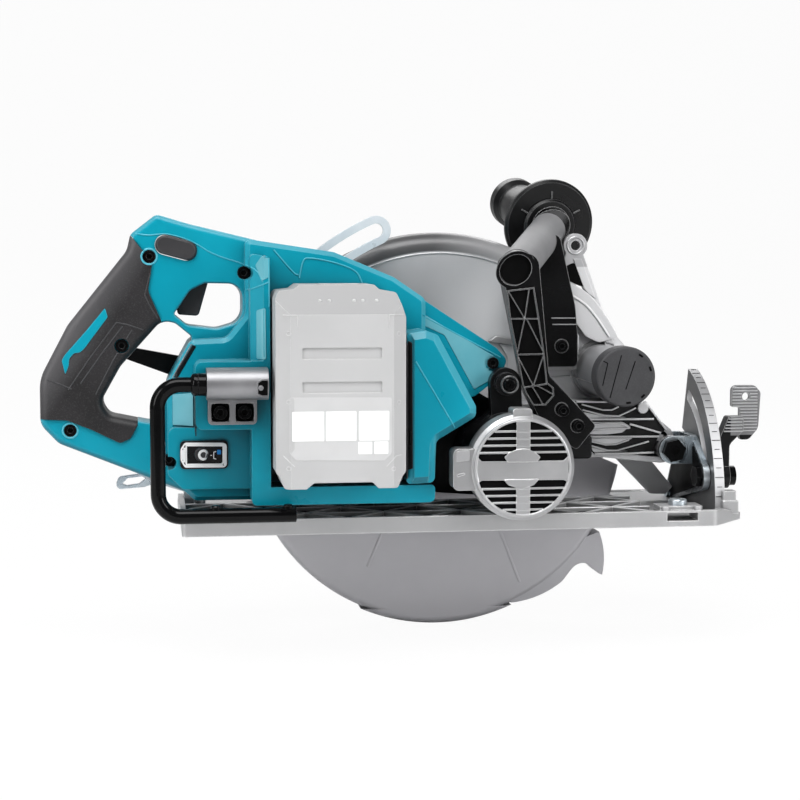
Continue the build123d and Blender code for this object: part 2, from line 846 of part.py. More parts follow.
# Spindle, its gear and its two bearings
gear_near_y = gear_y - gear_width
rear_bearing_near_y = gear_cover_near_y + 1
rear_bearing_far_y = 1
front_bearing_near_y = gear_y + 1
front_bearing_far_y = guard_near_y + 1
rear_bearing_radius = 14
front_bearing_radius = 21
with BuildPart() as spindle:
    with BuildSketch(turned(*arbor)):
        with BuildLine():
            Polyline(
                (0, rear_bearing_near_y + 0.5),
                (spindle_tail_radius, rear_bearing_near_y + 0.5),
                (spindle_tail_radius, rear_bearing_far_y),
                (spindle_radius, rear_bearing_far_y),
                (spindle_radius, spindle_far_y),
                (blade_bolt_radius + seat_fit, spindle_far_y),
                (blade_bolt_radius + seat_fit, bolt_reach_y - 2),
                (0, bolt_reach_y - 4),
                close=True,
            )
        make_face()
    revolve(axis=arbor_axis)
finish(spindle, "spindle")

gear_phase = motor_direction + 180 / spindle_gear_teeth
with BuildPart() as spindle_gear:
    with BuildSketch(across(gear_y)):
        with Locations(arbor):
            add(gear_outline(spindle_gear_teeth, 0.36, gear_phase))
            Circle(spindle_radius + seat_fit, mode=Mode.SUBTRACT)
            with PolarLocations(21, 6):
                Circle(5, mode=Mode.SUBTRACT)
    extrude(amount=gear_width)
finish(spindle_gear, "spindle_gear")


def bearing(place, inner, outer, far_y, near_y):
    """A sealed ball bearing: two rings with recessed faces between them."""
    with BuildPart() as ring:
        with BuildSketch(across(far_y)):
            with Locations(place):
                Circle(outer)
                Circle(inner, mode=Mode.SUBTRACT)
        extrude(amount=far_y - near_y)
        for face_y, depth in ((far_y, 1), (near_y, -1)):
            with BuildSketch(across(face_y)):
                with Locations(place):
                    Circle(outer - (outer - inner) * 0.25)
                    Circle(inner + (outer - inner) * 0.25, mode=Mode.SUBTRACT)
            extrude(amount=depth, mode=Mode.SUBTRACT)
    return ring


spindle_bearing_front = bearing(
    arbor, spindle_radius + running_fit, front_bearing_radius, front_bearing_far_y, front_bearing_near_y
)
finish(spindle_bearing_front, "spindle_bearing_front")
spindle_bearing_rear = bearing(
    arbor, spindle_tail_radius + running_fit, rear_bearing_radius, rear_bearing_far_y, rear_bearing_near_y
)
finish(spindle_bearing_rear, "spindle_bearing_rear")

# Gear housing: the casting round the gears, the guard hub boss and the ribbed front arm
gear_room = 2
gear_tip_radius = gear_module * (spindle_gear_teeth / 2 + 0.85)
gear_case_wall = 4
gear_case_radius = gear_tip_radius + gear_room + gear_case_wall
motor_case_radius = motor_radius - 2
hub_boss_far_y = lower_guard_near_y + 3.8
motor_bearing_radius = 13
arm_near_face_y = gear_cover_near_y
arm_web = 4
truss_floor_y = pivot_boss_far_y - arm_web
arm_corners = [
    (44, 80, 3),
    (131, 82, 6),
    (158, 60, 4),
    (pivot_x + 9, pivot_z - 8, 6),
    (150, 36, 6),
    (104, 41, 4),
    (44, 41, 3),
]
arm_screws = [(67, 79), (78, 68)]
arm_screw_boss = 6.5
shaft_lock_point = (88, 50)
shaft_lock_radius = 5
shaft_lock_bore_y = 14
truss_width = 2.6
truss_boss = (136.5, 76)
truss_lines = [
    ((50, 70), (160, 66.5)),
    ((50, 57), (160, 53)),
    ((92, 67), (152, 55)),
    ((86, 81), (104, 69)),
    ((104, 69), (120, 82)),
    ((120, 82), (138, 67)),
    ((98, 56), (116, 42)),
    ((116, 42), (138, 54)),
]


def gear_case_outline(grow=0):
    """The shape round the spindle gear and the motor."""
    with BuildSketch() as flat:
        with Locations(arbor):
            Circle(gear_case_radius + grow)
        with Locations(motor):
            Circle(motor_case_radius + grow)
        make_hull()
    return flat.sketch


with BuildPart() as gear_housing:
    with BuildSketch(across(guard_near_y)):
        add(outline(arm_corners))
        with Locations(*arm_screws):
            Circle(arm_screw_boss)
    extrude(amount=guard_near_y - arm_near_face_y)
    with BuildSketch(across(truss_floor_y)):
        add(outline(arm_corners, -arm_web))
        with Locations(pivot):
            Circle(pivot_lug_radius, mode=Mode.SUBTRACT)
        with Locations(shaft_lock_point):
            Circle(shaft_lock_radius + 3.5, mode=Mode.SUBTRACT)
        with Locations(*arm_screws):
            Circle(arm_screw_boss, mode=Mode.SUBTRACT)
        with Locations(truss_boss):
            Circle(5, mode=Mode.SUBTRACT)
        for rib_start, rib_end in truss_lines:
            add(strip(rib_start, rib_end, truss_width), mode=Mode.SUBTRACT)
    extrude(amount=truss_floor_y - arm_near_face_y + 1, mode=Mode.SUBTRACT)
    with BuildSketch(across(gear_case_split_y)):
        add(gear_case_outline(0.1))
    extrude(amount=gear_case_split_y - arm_near_face_y + 1, mode=Mode.SUBTRACT)
    with BuildSketch(across(guard_near_y)):
        add(gear_case_outline())
    extrude(amount=guard_near_y - gear_case_split_y)
    with BuildSketch(across(hub_boss_far_y)):
        with Locations(arbor):
            Circle(hub_boss_radius)
    extrude(amount=hub_boss_far_y - guard_near_y)
    with BuildSketch(across(gear_y + 1)):
        with Locations(arbor):
            Circle(gear_tip_radius + gear_room)
        with Locations(motor):
            Circle(gear_module * (pinion_teeth / 2 + 0.85) + gear_room + 1)
    extrude(amount=gear_y, mode=Mode.SUBTRACT)
    with BuildSketch(across(front_bearing_far_y)):
        with Locations(arbor):
            Circle(front_bearing_radius + seat_fit)
    extrude(amount=front_bearing_far_y, mode=Mode.SUBTRACT)
    with BuildSketch(across(hub_boss_far_y)):
        with Locations(arbor):
            Circle(spindle_radius + 2)
    extrude(amount=hub_boss_far_y, mode=Mode.SUBTRACT)
    with BuildSketch(across(arm_near_face_y)):
        with Locations(*arm_screws):
            Circle(arm_screw_boss)
    extrude(amount=arm_near_face_y - arm_far_y)
    with BuildSketch(across(pivot_boss_far_y)):
        with Locations(pivot):
            Circle(pivot_lug_radius)
    extrude(amount=pivot_boss_far_y - pivot_boss_near_y)
    with BuildSketch(across(guard_near_y)):
        with Locations((front_bracket_x - 20, pivot_z)):
            Rectangle(60, 40)
    extrude(amount=guard_near_y - pivot_boss_far_y, mode=Mode.SUBTRACT)
    with BuildSketch(across(guard_near_y)):
        with Locations(pivot):
            Circle(pivot_bolt_radius + running_fit)
    extrude(amount=2 * guard_near_y, mode=Mode.SUBTRACT)
    with BuildSketch(across(shaft_lock_bore_y)):
        with Locations(shaft_lock_point):
            Circle(shaft_lock_radius + running_fit)
    extrude(amount=40, mode=Mode.SUBTRACT)
    for screw in arm_screws:
        with BuildSketch(across(arm_far_y + 16)):
            with Locations(screw):
                Circle(screw_shank_radius + 0.5 + seat_fit)
        extrude(amount=30, mode=Mode.SUBTRACT)
finish(gear_housing, "gear_housing")

# Gear cover, with the rear spindle bearing and the front motor bearing in it
motor_bearing_depth = 8
with BuildPart() as gear_cover:
    with BuildSketch(across(gear_case_split_y)):
        add(gear_case_outline())
    extrude(amount=gear_case_split_y - gear_cover_near_y)
    with BuildSketch(across(gear_case_split_y)):
        with Locations(arbor):
            Circle(rear_bearing_radius + seat_fit)
    extrude(amount=gear_case_split_y - rear_bearing_near_y, mode=Mode.SUBTRACT)
    with BuildSketch(across(gear_cover_near_y)):
        with Locations(motor):
            Circle(motor_bearing_radius + seat_fit)
    extrude(amount=-motor_bearing_depth, mode=Mode.SUBTRACT)
    with BuildSketch(across(gear_case_split_y)):
        with Locations(motor):
            Circle(gear_module * (pinion_teeth / 2 + 0.85) + gear_room)
    extrude(amount=gear_case_split_y - gear_cover_near_y, mode=Mode.SUBTRACT)
finish(gear_cover, "gear_cover")

# Motor housing: a round can with a front lug for the nose of the body
motor_lug_near_y = -49
motor_lug_far_y = nose_near_y - 0.3
motor_lug_end = (27, 98)
with BuildPart() as motor_housing:
    with BuildSketch(across(gear_cover_near_y)):
        with Locations(motor):
            Circle(motor_radius)
    extrude(amount=gear_cover_near_y - motor_near_y)
    with BuildSketch(across(motor_lug_far_y)):
        add(bar(motor, motor_lug_end, 22))
        with Locations(arm_screws[0]):
            Circle(arm_screw_boss + 1.5, mode=Mode.SUBTRACT)
    extrude(amount=motor_lug_far_y - motor_lug_near_y)
    with BuildSketch(across(gear_cover_near_y)):
        with Locations(motor):
            Circle(motor_radius - motor_wall)
    extrude(amount=gear_cover_near_y - motor_near_y, mode=Mode.SUBTRACT)
    with BuildSketch(across(motor_lug_near_y)):
        with Locations(motor_lug_end):
            Circle(8)
    extrude(amount=5)
finish(motor_housing, "motor_housing")

# Motor end cover: a ring with louvres, a bare central band, a key block and a side boss
end_cover_far_y = motor_near_y
end_cover_near_y = end_cover_far_y - end_cover_depth
cover_bearing_radius = 11
cover_bearing_near_y = end_cover_near_y + 6
cover_bearing_far_y = cover_bearing_near_y + 7
with BuildPart() as motor_end_cover:
    with BuildSketch(across(end_cover_far_y)):
        with Locations(motor):
            Circle(end_cover_radius)
    extrude(amount=end_cover_depth)
    chamfer(faces().sort_by(Axis.Y)[0].edges(), 3.5)
    with BuildSketch(across(end_cover_far_y)):
        with Locations((motor[0] - end_cover_radius - 2, motor[1] - 1)):
            RectangleRounded(18, 28, 4)
        with Locations((motor[0], motor[1] + end_cover_radius - 1)):
            RectangleRounded(13, 9, 2)
    extrude(amount=end_cover_depth - 2)
    with BuildSketch(across(end_cover_far_y)):
        with Locations(motor):
            Circle(end_cover_radius - end_cover_wall)
    extrude(amount=end_cover_depth - end_cover_face, mode=Mode.SUBTRACT)
    with BuildSketch(across(end_cover_near_y)):
        with Locations(motor):
            for side in (-1, 1):
                for row in range(louvre_rows):
                    louvre_up = hub_band_height / 2 + louvre_pitch * (row + 0.1)
                    reach = sqrt((end_cover_radius - 6.5) ** 2 - (louvre_up + louvre_gap) ** 2)
                    with Locations((0, side * (louvre_up + louvre_gap / 2))):
                        Rectangle(2 * reach, louvre_gap)
            Rectangle(centre_bar_width, 2 * end_cover_radius, mode=Mode.SUBTRACT)
            Circle(cover_bearing_radius + 3, mode=Mode.SUBTRACT)
    extrude(amount=-end_cover_face, mode=Mode.SUBTRACT)
    with BuildSketch(across(cover_bearing_far_y)):
        with Locations(motor):
            Circle(cover_bearing_radius + 3)
    extrude(amount=cover_bearing_far_y - end_cover_near_y)
    with BuildSketch(across(cover_bearing_far_y)):
        with Locations(motor):
            Circle(cover_bearing_radius + seat_fit)
    extrude(amount=cover_bearing_far_y - cover_bearing_near_y, mode=Mode.SUBTRACT)
finish(motor_end_cover, "motor_end_cover")

# Stator: a slotted ring with six coil windows
stator_far_y = -22
stator_near_y = stator_far_y - stator_length
with BuildPart() as stator:
    with BuildSketch(across(stator_far_y)):
        with Locations(motor):
            Circle(motor_radius - motor_wall - seat_fit)
            Circle(stator_inner_radius, mode=Mode.SUBTRACT)
            with PolarLocations(21.5, stator_slots):
                Rectangle(6, 7, mode=Mode.SUBTRACT)
    extrude(amount=stator_length)
finish(stator, "stator")

# Rotor with its shaft
cover_shaft_radius = 4
fan_near_y = motor_near_y + 2.5
fan_far_y = fan_near_y + 6.5
with BuildPart() as rotor:
    with BuildSketch(turned(*motor)):
        with BuildLine():
            Polyline(
                (0, cover_bearing_near_y + 0.5),
                (cover_shaft_radius, cover_bearing_near_y + 0.5),
                (cover_shaft_radius, cover_bearing_far_y),
                (motor_shaft_radius, cover_bearing_far_y),
                (motor_shaft_radius, stator_near_y + 2),
                (rotor_radius, stator_near_y + 2),
                (rotor_radius, stator_far_y - 2),
                (motor_shaft_radius, stator_far_y - 2),
                (motor_shaft_radius, gear_case_split_y),
                (pinion_bore_radius, gear_case_split_y),
                (pinion_bore_radius, gear_y + 0.4),
                (0, gear_y + 0.4),
                close=True,
            )
        make_face()
    revolve(axis=motor_axis)
finish(rotor, "rotor")

with BuildPart() as motor_fan:
    with BuildSketch(across(fan_far_y)):
        with Locations(motor):
            Circle(fan_radius)
            Circle(motor_shaft_radius + seat_fit, mode=Mode.SUBTRACT)
    extrude(amount=1.6)
    with BuildSketch(across(fan_far_y)):
        with Locations(motor):
            Circle(9)
            with PolarLocations(17.5, fan_blades, rotate=True):
                Rectangle(18, 1.6, rotation=25)
            Circle(motor_shaft_radius + seat_fit, mode=Mode.SUBTRACT)
    extrude(amount=fan_far_y - fan_near_y)
finish(motor_fan, "motor_fan")

with BuildPart() as pinion:
    with BuildSketch(across(gear_y)):
        with Locations(motor):
            add(gear_outline(pinion_teeth, 0.36, motor_direction + 180))
            Circle(pinion_bore_radius + seat_fit, mode=Mode.SUBTRACT)
    extrude(amount=gear_width)
finish(pinion, "pinion")

motor_bearing_front = bearing(
    motor,
    motor_shaft_radius + running_fit,
    motor_bearing_radius,
    gear_cover_near_y + motor_bearing_depth,
    gear_cover_near_y,
)
finish(motor_bearing_front, "motor_bearing_front")
motor_bearing_rear = bearing(
    motor, cover_shaft_radius + running_fit, cover_bearing_radius, cover_bearing_far_y, cover_bearing_near_y
)
finish(motor_bearing_rear, "motor_bearing_rear")

# Shaft lock button
shaft_lock_travel = 5
shaft_lock_end_y = shaft_lock_bore_y - shaft_lock_travel - 1
shaft_lock_head_y = arm_near_face_y - shaft_lock_travel - 0.5
with BuildPart() as shaft_lock:
    with BuildSketch(across(shaft_lock_end_y)):
        with Locations(shaft_lock_point):
            Circle(shaft_lock_radius)
    extrude(amount=shaft_lock_end_y - shaft_lock_head_y)
    with BuildSketch(across(shaft_lock_head_y)):
        with Locations(shaft_lock_point):
            RectangleRounded(15, 17, 3)
    extrude(amount=9)
    chamfer(faces().sort_by(Axis.Y)[0].edges(), 1.2)
finish(shaft_lock, "shaft_lock")

# Upper guard: a deep cover over the blade with a straight front and an open underside
skirt_drop = arbor_z - guard_skirt_z
guard_rear_angle = 180 + degrees(asin(skirt_drop / upper_radius))
guard_front_angle = 50
guard_rear_point = polar(arbor, upper_radius, guard_rear_angle)
guard_front_line = [
    polar(arbor, upper_radius, guard_front_angle),
    (134, 120),
    (149, 80),
    (147, 62),
    (116, guard_skirt_z),
]


def guard_outline():
    """Side view of the upper guard."""
    with BuildSketch() as flat:
        with BuildLine():
            CenterArc(arbor, upper_radius, guard_front_angle, guard_rear_angle - guard_front_angle)
            FilletPolyline(
                *guard_front_line, guard_rear_point, radius=[14, 8, 3, 2]
            )
        make_face()
    return flat.sketch


mouth_rear_x = arbor_x - upper_inner_radius + 1.5
under_mouth_corners = [(mouth_rear_x, 30, 0), (90, 30, 0), (90, 48, 0), (mouth_rear_x, 48, 0)]
front_mouth_corners = [(70, 30, 0), (144, 30, 0), (144, 76, 0), (70, 76, 0)]


def upper_edges(candidates, y):
    """The edges of one side face, without those along the open underside."""
    level = candidates.filter_by_position(Axis.Y, y - 0.1, y + 0.1)
    return level.filter_by(lambda edge: edge.center().Z > arbor_z + 10)


with BuildPart() as guard_void:
    with BuildSketch(across(guard_far_y - guard_side_wall)):
        add(guard_outline())
        offset(amount=-guard_rim_wall, mode=Mode.REPLACE)
    extrude(amount=guard_far_y - guard_near_y - 2 * guard_side_wall)
    fillet(
        upper_edges(edges(), guard_near_y + guard_side_wall), guard_near_round - guard_side_wall
    )
    with BuildSketch(across(guard_far_y - guard_side_wall)):
        add(outline(under_mouth_corners))
        add(outline(front_mouth_corners))
    extrude(amount=guard_far_y - guard_near_y - 2 * guard_side_wall)

stub_bore = dust_port_radius - dust_port_wall
pad_corners = [(64, 103, 3), (95, 103, 3), (95, 130, 3), (64, 130, 3)]
deflector_corners = [(108, 54, 1), (134, 56, 1), (169, 14, 1), (164, 8.5, 1), (152, 9, 1)]
lug_far_y = guard_near_y + 0.5
lug_root_radius = upper_radius - guard_near_round - 8
deflector_width = 4.5
with BuildPart() as upper_guard:
    with BuildSketch(across(guard_far_y)):
        add(guard_outline())
    extrude(amount=guard_far_y - guard_near_y)
    fillet(upper_edges(edges(), guard_near_y), guard_near_round)
    fillet(upper_edges(edges(), guard_far_y), guard_far_round)
    add(guard_void.part, mode=Mode.SUBTRACT)
    with BuildSketch(across(lug_far_y)):
        with Locations(lug_point):
            Circle(lug_radius)
        add(bar(lug_point, polar(arbor, lug_root_radius, 44), 12))
        add(bar(lug_point, (dust_port_x + 9, dust_port_z + 12), 6.5))
    extrude(amount=lug_thickness)
    with BuildSketch(across(guard_near_y + guard_side_wall - 1)):
        with Locations(depth_bolt_point):
            Circle(11)
        add(bar(depth_bolt_point, polar(arbor, upper_radius - 26, 157), 22))
    extrude(amount=guard_near_y + guard_side_wall - 1 - depth_ear_near_y)
    with BuildSketch(across(guard_near_y + deflector_width)):
        add(outline(deflector_corners))
    extrude(amount=deflector_width)
    with BuildSketch(across(guard_near_y)):
        add(outline(pad_corners))
    extrude(amount=guard_near_y - leg_far_y)
    with BuildSketch(across(guard_near_y + 1)):
        with Locations(dust_port):
            Circle(dust_port_radius)
    extrude(amount=guard_near_y + 1 - dust_port_near_y)
    with BuildSketch(across(guard_near_y + guard_side_wall)):
        with Locations(dust_port):
            Circle(stub_bore)
    extrude(amount=guard_near_y + guard_side_wall - dust_port_near_y, mode=Mode.SUBTRACT)
    with BuildSketch(across(guard_near_y + guard_side_wall)):
        with Locations(arbor):
            Circle(hub_boss_radius + seat_fit)
    extrude(amount=guard_side_wall, mode=Mode.SUBTRACT)
    with BuildSketch(across(guard_far_y)):
        with Locations(arbor):
            Circle(far_cutout_radius)
    extrude(amount=guard_side_wall, mode=Mode.SUBTRACT)
    with BuildSketch(across(lug_far_y)):
        with Locations(lug_point):
            Circle(lug_hole_radius)
    extrude(amount=lug_thickness, mode=Mode.SUBTRACT)
    with BuildSketch(across(guard_near_y - 1)):
        with Locations(depth_bolt_point):
            Circle(depth_bolt_radius + seat_fit)
    extrude(amount=guard_near_y - 1 - depth_ear_near_y, mode=Mode.SUBTRACT)
    with BuildSketch(across(leg_far_y + 6)):
        with Locations(leg_screw_place):
            Circle(screw_shank_radius + 0.5 + seat_fit)
    extrude(amount=6, mode=Mode.SUBTRACT)
finish(upper_guard, "upper_guard")

# Lower guard: a half-round pan about the arbor with a lip at its front edge
lower_end_angle = 192
lower_front_angle = degrees(asin((arbor_z - 30) / lower_radius))
hub_ring_radius = hub_boss_radius + side_clearance
lip_step = 1.5
bulge_top_z = -74
lip_foot = [(48, -72), (68, -67.5), (86, -57.5)]
lip_hollow = [(86, -57.5), (92.5, -49.5), (98, -44.5), (104, -43.5), (111, -48.5), (117.5, -52.6)]
lip_front = [(117.5, -52.6), (118.8, -38), (115, -20)]
crease_lines = [((-47, -12), (-60, -42)), ((37, -12), (54, -56))]
crease_height = 0.7


def lower_outline():
    """Side view of the lower guard, a near half disc about the arbor."""
    radius = lower_radius
    with BuildSketch() as flat:
        with BuildLine():
            CenterArc(arbor, radius, -lower_end_angle, lower_end_angle - lower_front_angle)
            Polyline(
                polar(arbor, radius, -lower_end_angle),
                (arbor_x - 45, arbor_z + 12),
                (arbor_x + 45, arbor_z + 12),
                polar(arbor, radius, -lower_front_angle),
            )
        make_face()
    return flat.sketch


def near_arcs(candidates):
    """The round edges of the near face of the lower guard."""
    level = candidates.filter_by_position(Axis.Y, lower_guard_near_y - 0.1, lower_guard_near_y + 0.1)
    return level.filter_by(GeomType.CIRCLE)


with BuildPart() as lower_bulge:
    with BuildSketch(across(lower_guard_far_y)):
        with Locations((arbor_x, arbor_z - lower_guard_bulge)):
            Circle(lower_radius)
    extrude(amount=lower_guard_far_y - lower_guard_near_y)
    fillet(near_arcs(edges()), lower_guard_round)
    with BuildSketch(across(lower_guard_far_y)):
        with Locations((arbor_x, bulge_top_z + 2 * lower_radius)):
            Rectangle(3 * lower_radius, 4 * lower_radius)
    extrude(amount=lower_guard_far_y - lower_guard_near_y, mode=Mode.SUBTRACT)

with BuildPart() as lower_guard:
    with BuildSketch(across(lower_guard_far_y)):
        add(lower_outline())
    extrude(amount=lower_guard_far_y - lower_guard_near_y)
    fillet(near_arcs(edges()), lower_guard_round)
    add(lower_bulge.part)
    with BuildSketch(across(lower_guard_far_y - lip_step)):
        with BuildLine():
            ThreePointArc(*lip_foot)
            Spline(*lip_hollow)
            ThreePointArc(*lip_front)
            Polyline(lip_front[-1], (92, -28), (46, -60), lip_foot[0])
        make_face()
    extrude(amount=lower_guard_far_y - lower_guard_near_y - 2 * lip_step)
    with BuildSketch(across(lower_guard_far_y - lower_guard_wall)):
        with Locations(arbor):
            Circle(lower_inner_radius)
    extrude(
        amount=lower_guard_far_y - lower_guard_near_y - 2 * lower_guard_wall, mode=Mode.SUBTRACT
    )
    with BuildSketch(across(lower_guard_far_y)):
        with Locations(arbor):
            Circle(far_ring_radius)
        with Locations((arbor_x, arbor_z + 50)):
            Rectangle(200, 100)
    extrude(amount=lower_guard_wall, mode=Mode.SUBTRACT)
    with BuildSketch(across(lower_guard_near_y + lower_guard_wall + 1.5)):
        with Locations(arbor):
            Circle(hub_ring_radius + hub_ring_width)
    extrude(amount=lower_guard_wall + 2.5)
    with BuildSketch(across(lower_guard_near_y + 0.5)):
        for crease_start, crease_end in crease_lines:
            add(strip(crease_start, crease_end, 1.6))
    extrude(amount=crease_height + 0.5)
    with BuildSketch(across(lower_guard_far_y)):
        with Locations(arbor):
            Circle(hub_ring_radius)
    extrude(amount=2 * lower_guard_far_y, mode=Mode.SUBTRACT)
finish(lower_guard, "lower_guard")

# Lower guard lever: an arm on the far side of the guard with a thumb knob
lever_angle = 170
lever_radius = 72
lever_plate = 2
lever_place = polar(arbor, lever_radius, lever_angle)
lever_stem_far_y = 74
lever_line = Edge.make_circle(lever_radius, Plane(arbor), lever_angle, lever_angle + 50)
with BuildPart() as guard_lever:
    with BuildSketch(across(lower_guard_far_y + lever_plate)):
        SlotArc(lever_line, 22)
    extrude(amount=lever_plate)
    with BuildSketch(across(lever_stem_far_y)):
        with Locations(lever_place):
            Circle(5)
    extrude(amount=lever_stem_far_y - lower_guard_far_y)
    with BuildSketch(across(lever_stem_far_y)):
        with Locations(lever_place):
            Circle(9)
    extrude(amount=12)
    fillet(faces().sort_by(Axis.Y)[-1].edges(), 2)
finish(guard_lever, "guard_lever")

# Dust cap, a rubber cap over the end of the dust port
dust_cap_inner = dust_port_radius + 0.35
dust_cap_far_y = dust_port_near_y + dust_cap_skirt
dust_cap_near_y = dust_port_near_y - 0.3 - dust_cap_face
with BuildPart() as dust_cap:
    with BuildSketch(across(dust_cap_far_y)):
        with Locations(dust_port):
            Circle(dust_cap_inner + dust_cap_wall)
    extrude(amount=dust_cap_far_y - dust_cap_near_y)
    fillet(faces().sort_by(Axis.Y)[0].edges(), 2)
    with BuildSketch(across(dust_cap_far_y)):
        with Locations(dust_port):
            Circle(dust_cap_inner)
    extrude(amount=dust_cap_skirt + 0.3, mode=Mode.SUBTRACT)
finish(dust_cap, "dust_cap")

# Front handle: a truss arm on the gear housing, a slanted tube and a far leg on the guard
tube_near = Vector(35, arm_near_y + 4, 178)
tube_far = Vector(78, 38, 207.5)
tube_direction = (tube_far - tube_near).normalized()
tube_plane = Plane(origin=tube_near - tube_direction * 12, z_dir=tube_direction)
grip_end = Vector(68, 134, 228.5)
grip_direction = (grip_end - tube_far).normalized()
grip_plane = Plane(origin=tube_far, z_dir=grip_direction)
collar_length = 4
collar_radius = 15
front_arm_corners = [
    (21, 188, 9),
    (49, 188, 9),
    (57, 104, 8),
    (91, 68, 3),
    (77, 51, 3),
    (52, 71, 10),
    (41, 92, 12),
]
arm_bays = [
    [(29, 158, 2), (45, 158, 2), (48, 134, 2), (33, 134, 2)],
    [(34, 130, 2), (48, 130, 2), (50, 109, 2), (39, 109, 2)],
    [(40, 105, 2), (51, 105, 2), (57, 94, 2), (47, 88, 2)],
]
arm_braces = [((29, 158), (48, 134)), ((34, 109), (49, 130)), ((40, 105), (57, 92))]
leg_corners = [(64, 106, 4), (90, 106, 4), (90, 128, 3), (88, 150, 10), (76, 202, 6), (56, 200, 6)]
leg_foot_corners = [(64, 106, 4), (90, 106, 4), (90, 140, 3), (64, 140, 3)]
with BuildPart() as front_handle:
    with BuildSketch(across(arm_far_y)):
        add(outline(front_arm_corners))
    extrude(amount=arm_far_y - arm_near_y)
    with BuildSketch(across(arm_far_y - 5)):
        for bay, brace in zip(arm_bays, arm_braces):
            add(outline(bay))
            add(strip(*brace, 3), mode=Mode.SUBTRACT)
    extrude(amount=arm_far_y - arm_near_y, mode=Mode.SUBTRACT)
    with BuildSketch(across(leg_step_y)):
        add(outline(leg_corners))
    extrude(amount=leg_step_y - leg_near_y)
    with BuildSketch(across(leg_far_y)):
        add(outline(leg_foot_corners))
    extrude(amount=leg_far_y - leg_step_y)
    with BuildSketch(tube_plane):
        Circle(tube_radius)
    extrude(amount=(tube_far - tube_near).length + 24)
    with BuildSketch(grip_plane):
        Circle(2 * collar_radius)
    extrude(amount=3 * collar_radius, mode=Mode.SUBTRACT)
    with BuildSketch(grip_plane):
        Circle(collar_radius)
    extrude(amount=collar_length)
    with BuildSketch(grip_plane):
        Circle(grip_core_radius)
    extrude(amount=front_grip_length - 16)
    with BuildSketch(across(arm_near_y)):
        with Locations((35, 178)):
            Rectangle(80, 80)
    extrude(amount=30, mode=Mode.SUBTRACT)
    with BuildSketch(tube_plane):
        Circle(tube_bore_radius)
    extrude(amount=44, mode=Mode.SUBTRACT)
    for screw in arm_screws:
        with BuildSketch(across(arm_far_y)):
            with Locations(screw):
                Circle(screw_shank_radius + 0.5 + seat_fit)
        extrude(amount=arm_far_y - arm_near_y, mode=Mode.SUBTRACT)
    with BuildSketch(across(leg_far_y)):
        with Locations(leg_screw_place):
            Circle(screw_shank_radius + 0.5 + seat_fit)
    extrude(amount=leg_far_y - leg_near_y, mode=Mode.SUBTRACT)
finish(front_handle, "front_handle")

# Front grip: a moulded rubber barrel on the handle core, with a flange and a round knob
grip_side = Vector(grip_direction.Y, -grip_direction.X, 0).normalized()
grip_section = Plane(origin=tube_far, x_dir=grip_side, z_dir=grip_side.cross(grip_direction))
grip_start = collar_length
grip_bore = grip_core_radius + seat_fit
flange_rim = 4
knob_start = front_grip_length - 20
with BuildPart() as front_grip:
    with BuildSketch(grip_section):
        with BuildLine():
            Polyline(
                (0, front_grip_length - 15),
                (grip_bore, front_grip_length - 15),
                (grip_bore, grip_start),
                (front_flange_radius - 2, grip_start),
                (front_flange_radius, grip_start + 1.5),
                (front_flange_radius, grip_start + flange_rim),
                (front_flange_radius - 4, grip_start + flange_rim + 1.5),
                (front_grip_radius + 1, grip_start + flange_rim + 4),
                (front_grip_radius - 0.5, grip_start + flange_rim + 8),
            )
            ThreePointArc(
                (front_grip_radius - 0.5, grip_start + flange_rim + 8),
                (front_grip_radius + 1.5, front_grip_length * 0.5),
                (front_grip_radius - 0.5, knob_start),
            )
            Line((front_grip_radius - 0.5, knob_start), (front_knob_radius, knob_start + 5))
            Line((front_knob_radius, knob_start + 5), (front_knob_radius, front_grip_length - 6))
            ThreePointArc(
                (front_knob_radius, front_grip_length - 6),
                (front_knob_radius - 4, front_grip_length - 1.5),
                (front_knob_radius - 9, front_grip_length),
            )
            Polyline(
                (front_knob_radius - 9, front_grip_length),
                (0, front_grip_length),
                (0, front_grip_length - 15),
            )
        make_face()
    revolve(axis=Axis(tube_far, grip_direction))
finish(front_grip, "front_grip")


def cap_screw(place, seat_y, length, head, shank, height):
    """A socket screw along y with its head on the right side."""
    with BuildPart() as screw_body:
        with BuildSketch(across(seat_y + length)):
            with Locations(place):
                Circle(shank)
        extrude(amount=length)
        with BuildSketch(across(seat_y)):
            with Locations(place):
                Circle(head)
        extrude(amount=height)
        with BuildSketch(across(seat_y - height)):
            with Locations(place):
                RegularPolygon(head * 0.55, 6)
        extrude(amount=-height * 0.55, mode=Mode.SUBTRACT)
    return screw_body


# Front handle screws: two through the arm, one through the far leg
with BuildPart() as arm_screw_pair:
    for screw in arm_screws:
        add(
            cap_screw(
                screw, arm_near_y, 30, screw_head_radius, screw_shank_radius + 0.5, screw_head_height
            ).part
        )
finish(arm_screw_pair, "arm_screw_pair")
leg_screw = cap_screw(
    leg_screw_place, leg_near_y, 22, screw_head_radius, screw_shank_radius + 0.5, screw_head_height
)
finish(leg_screw, "leg_screw")

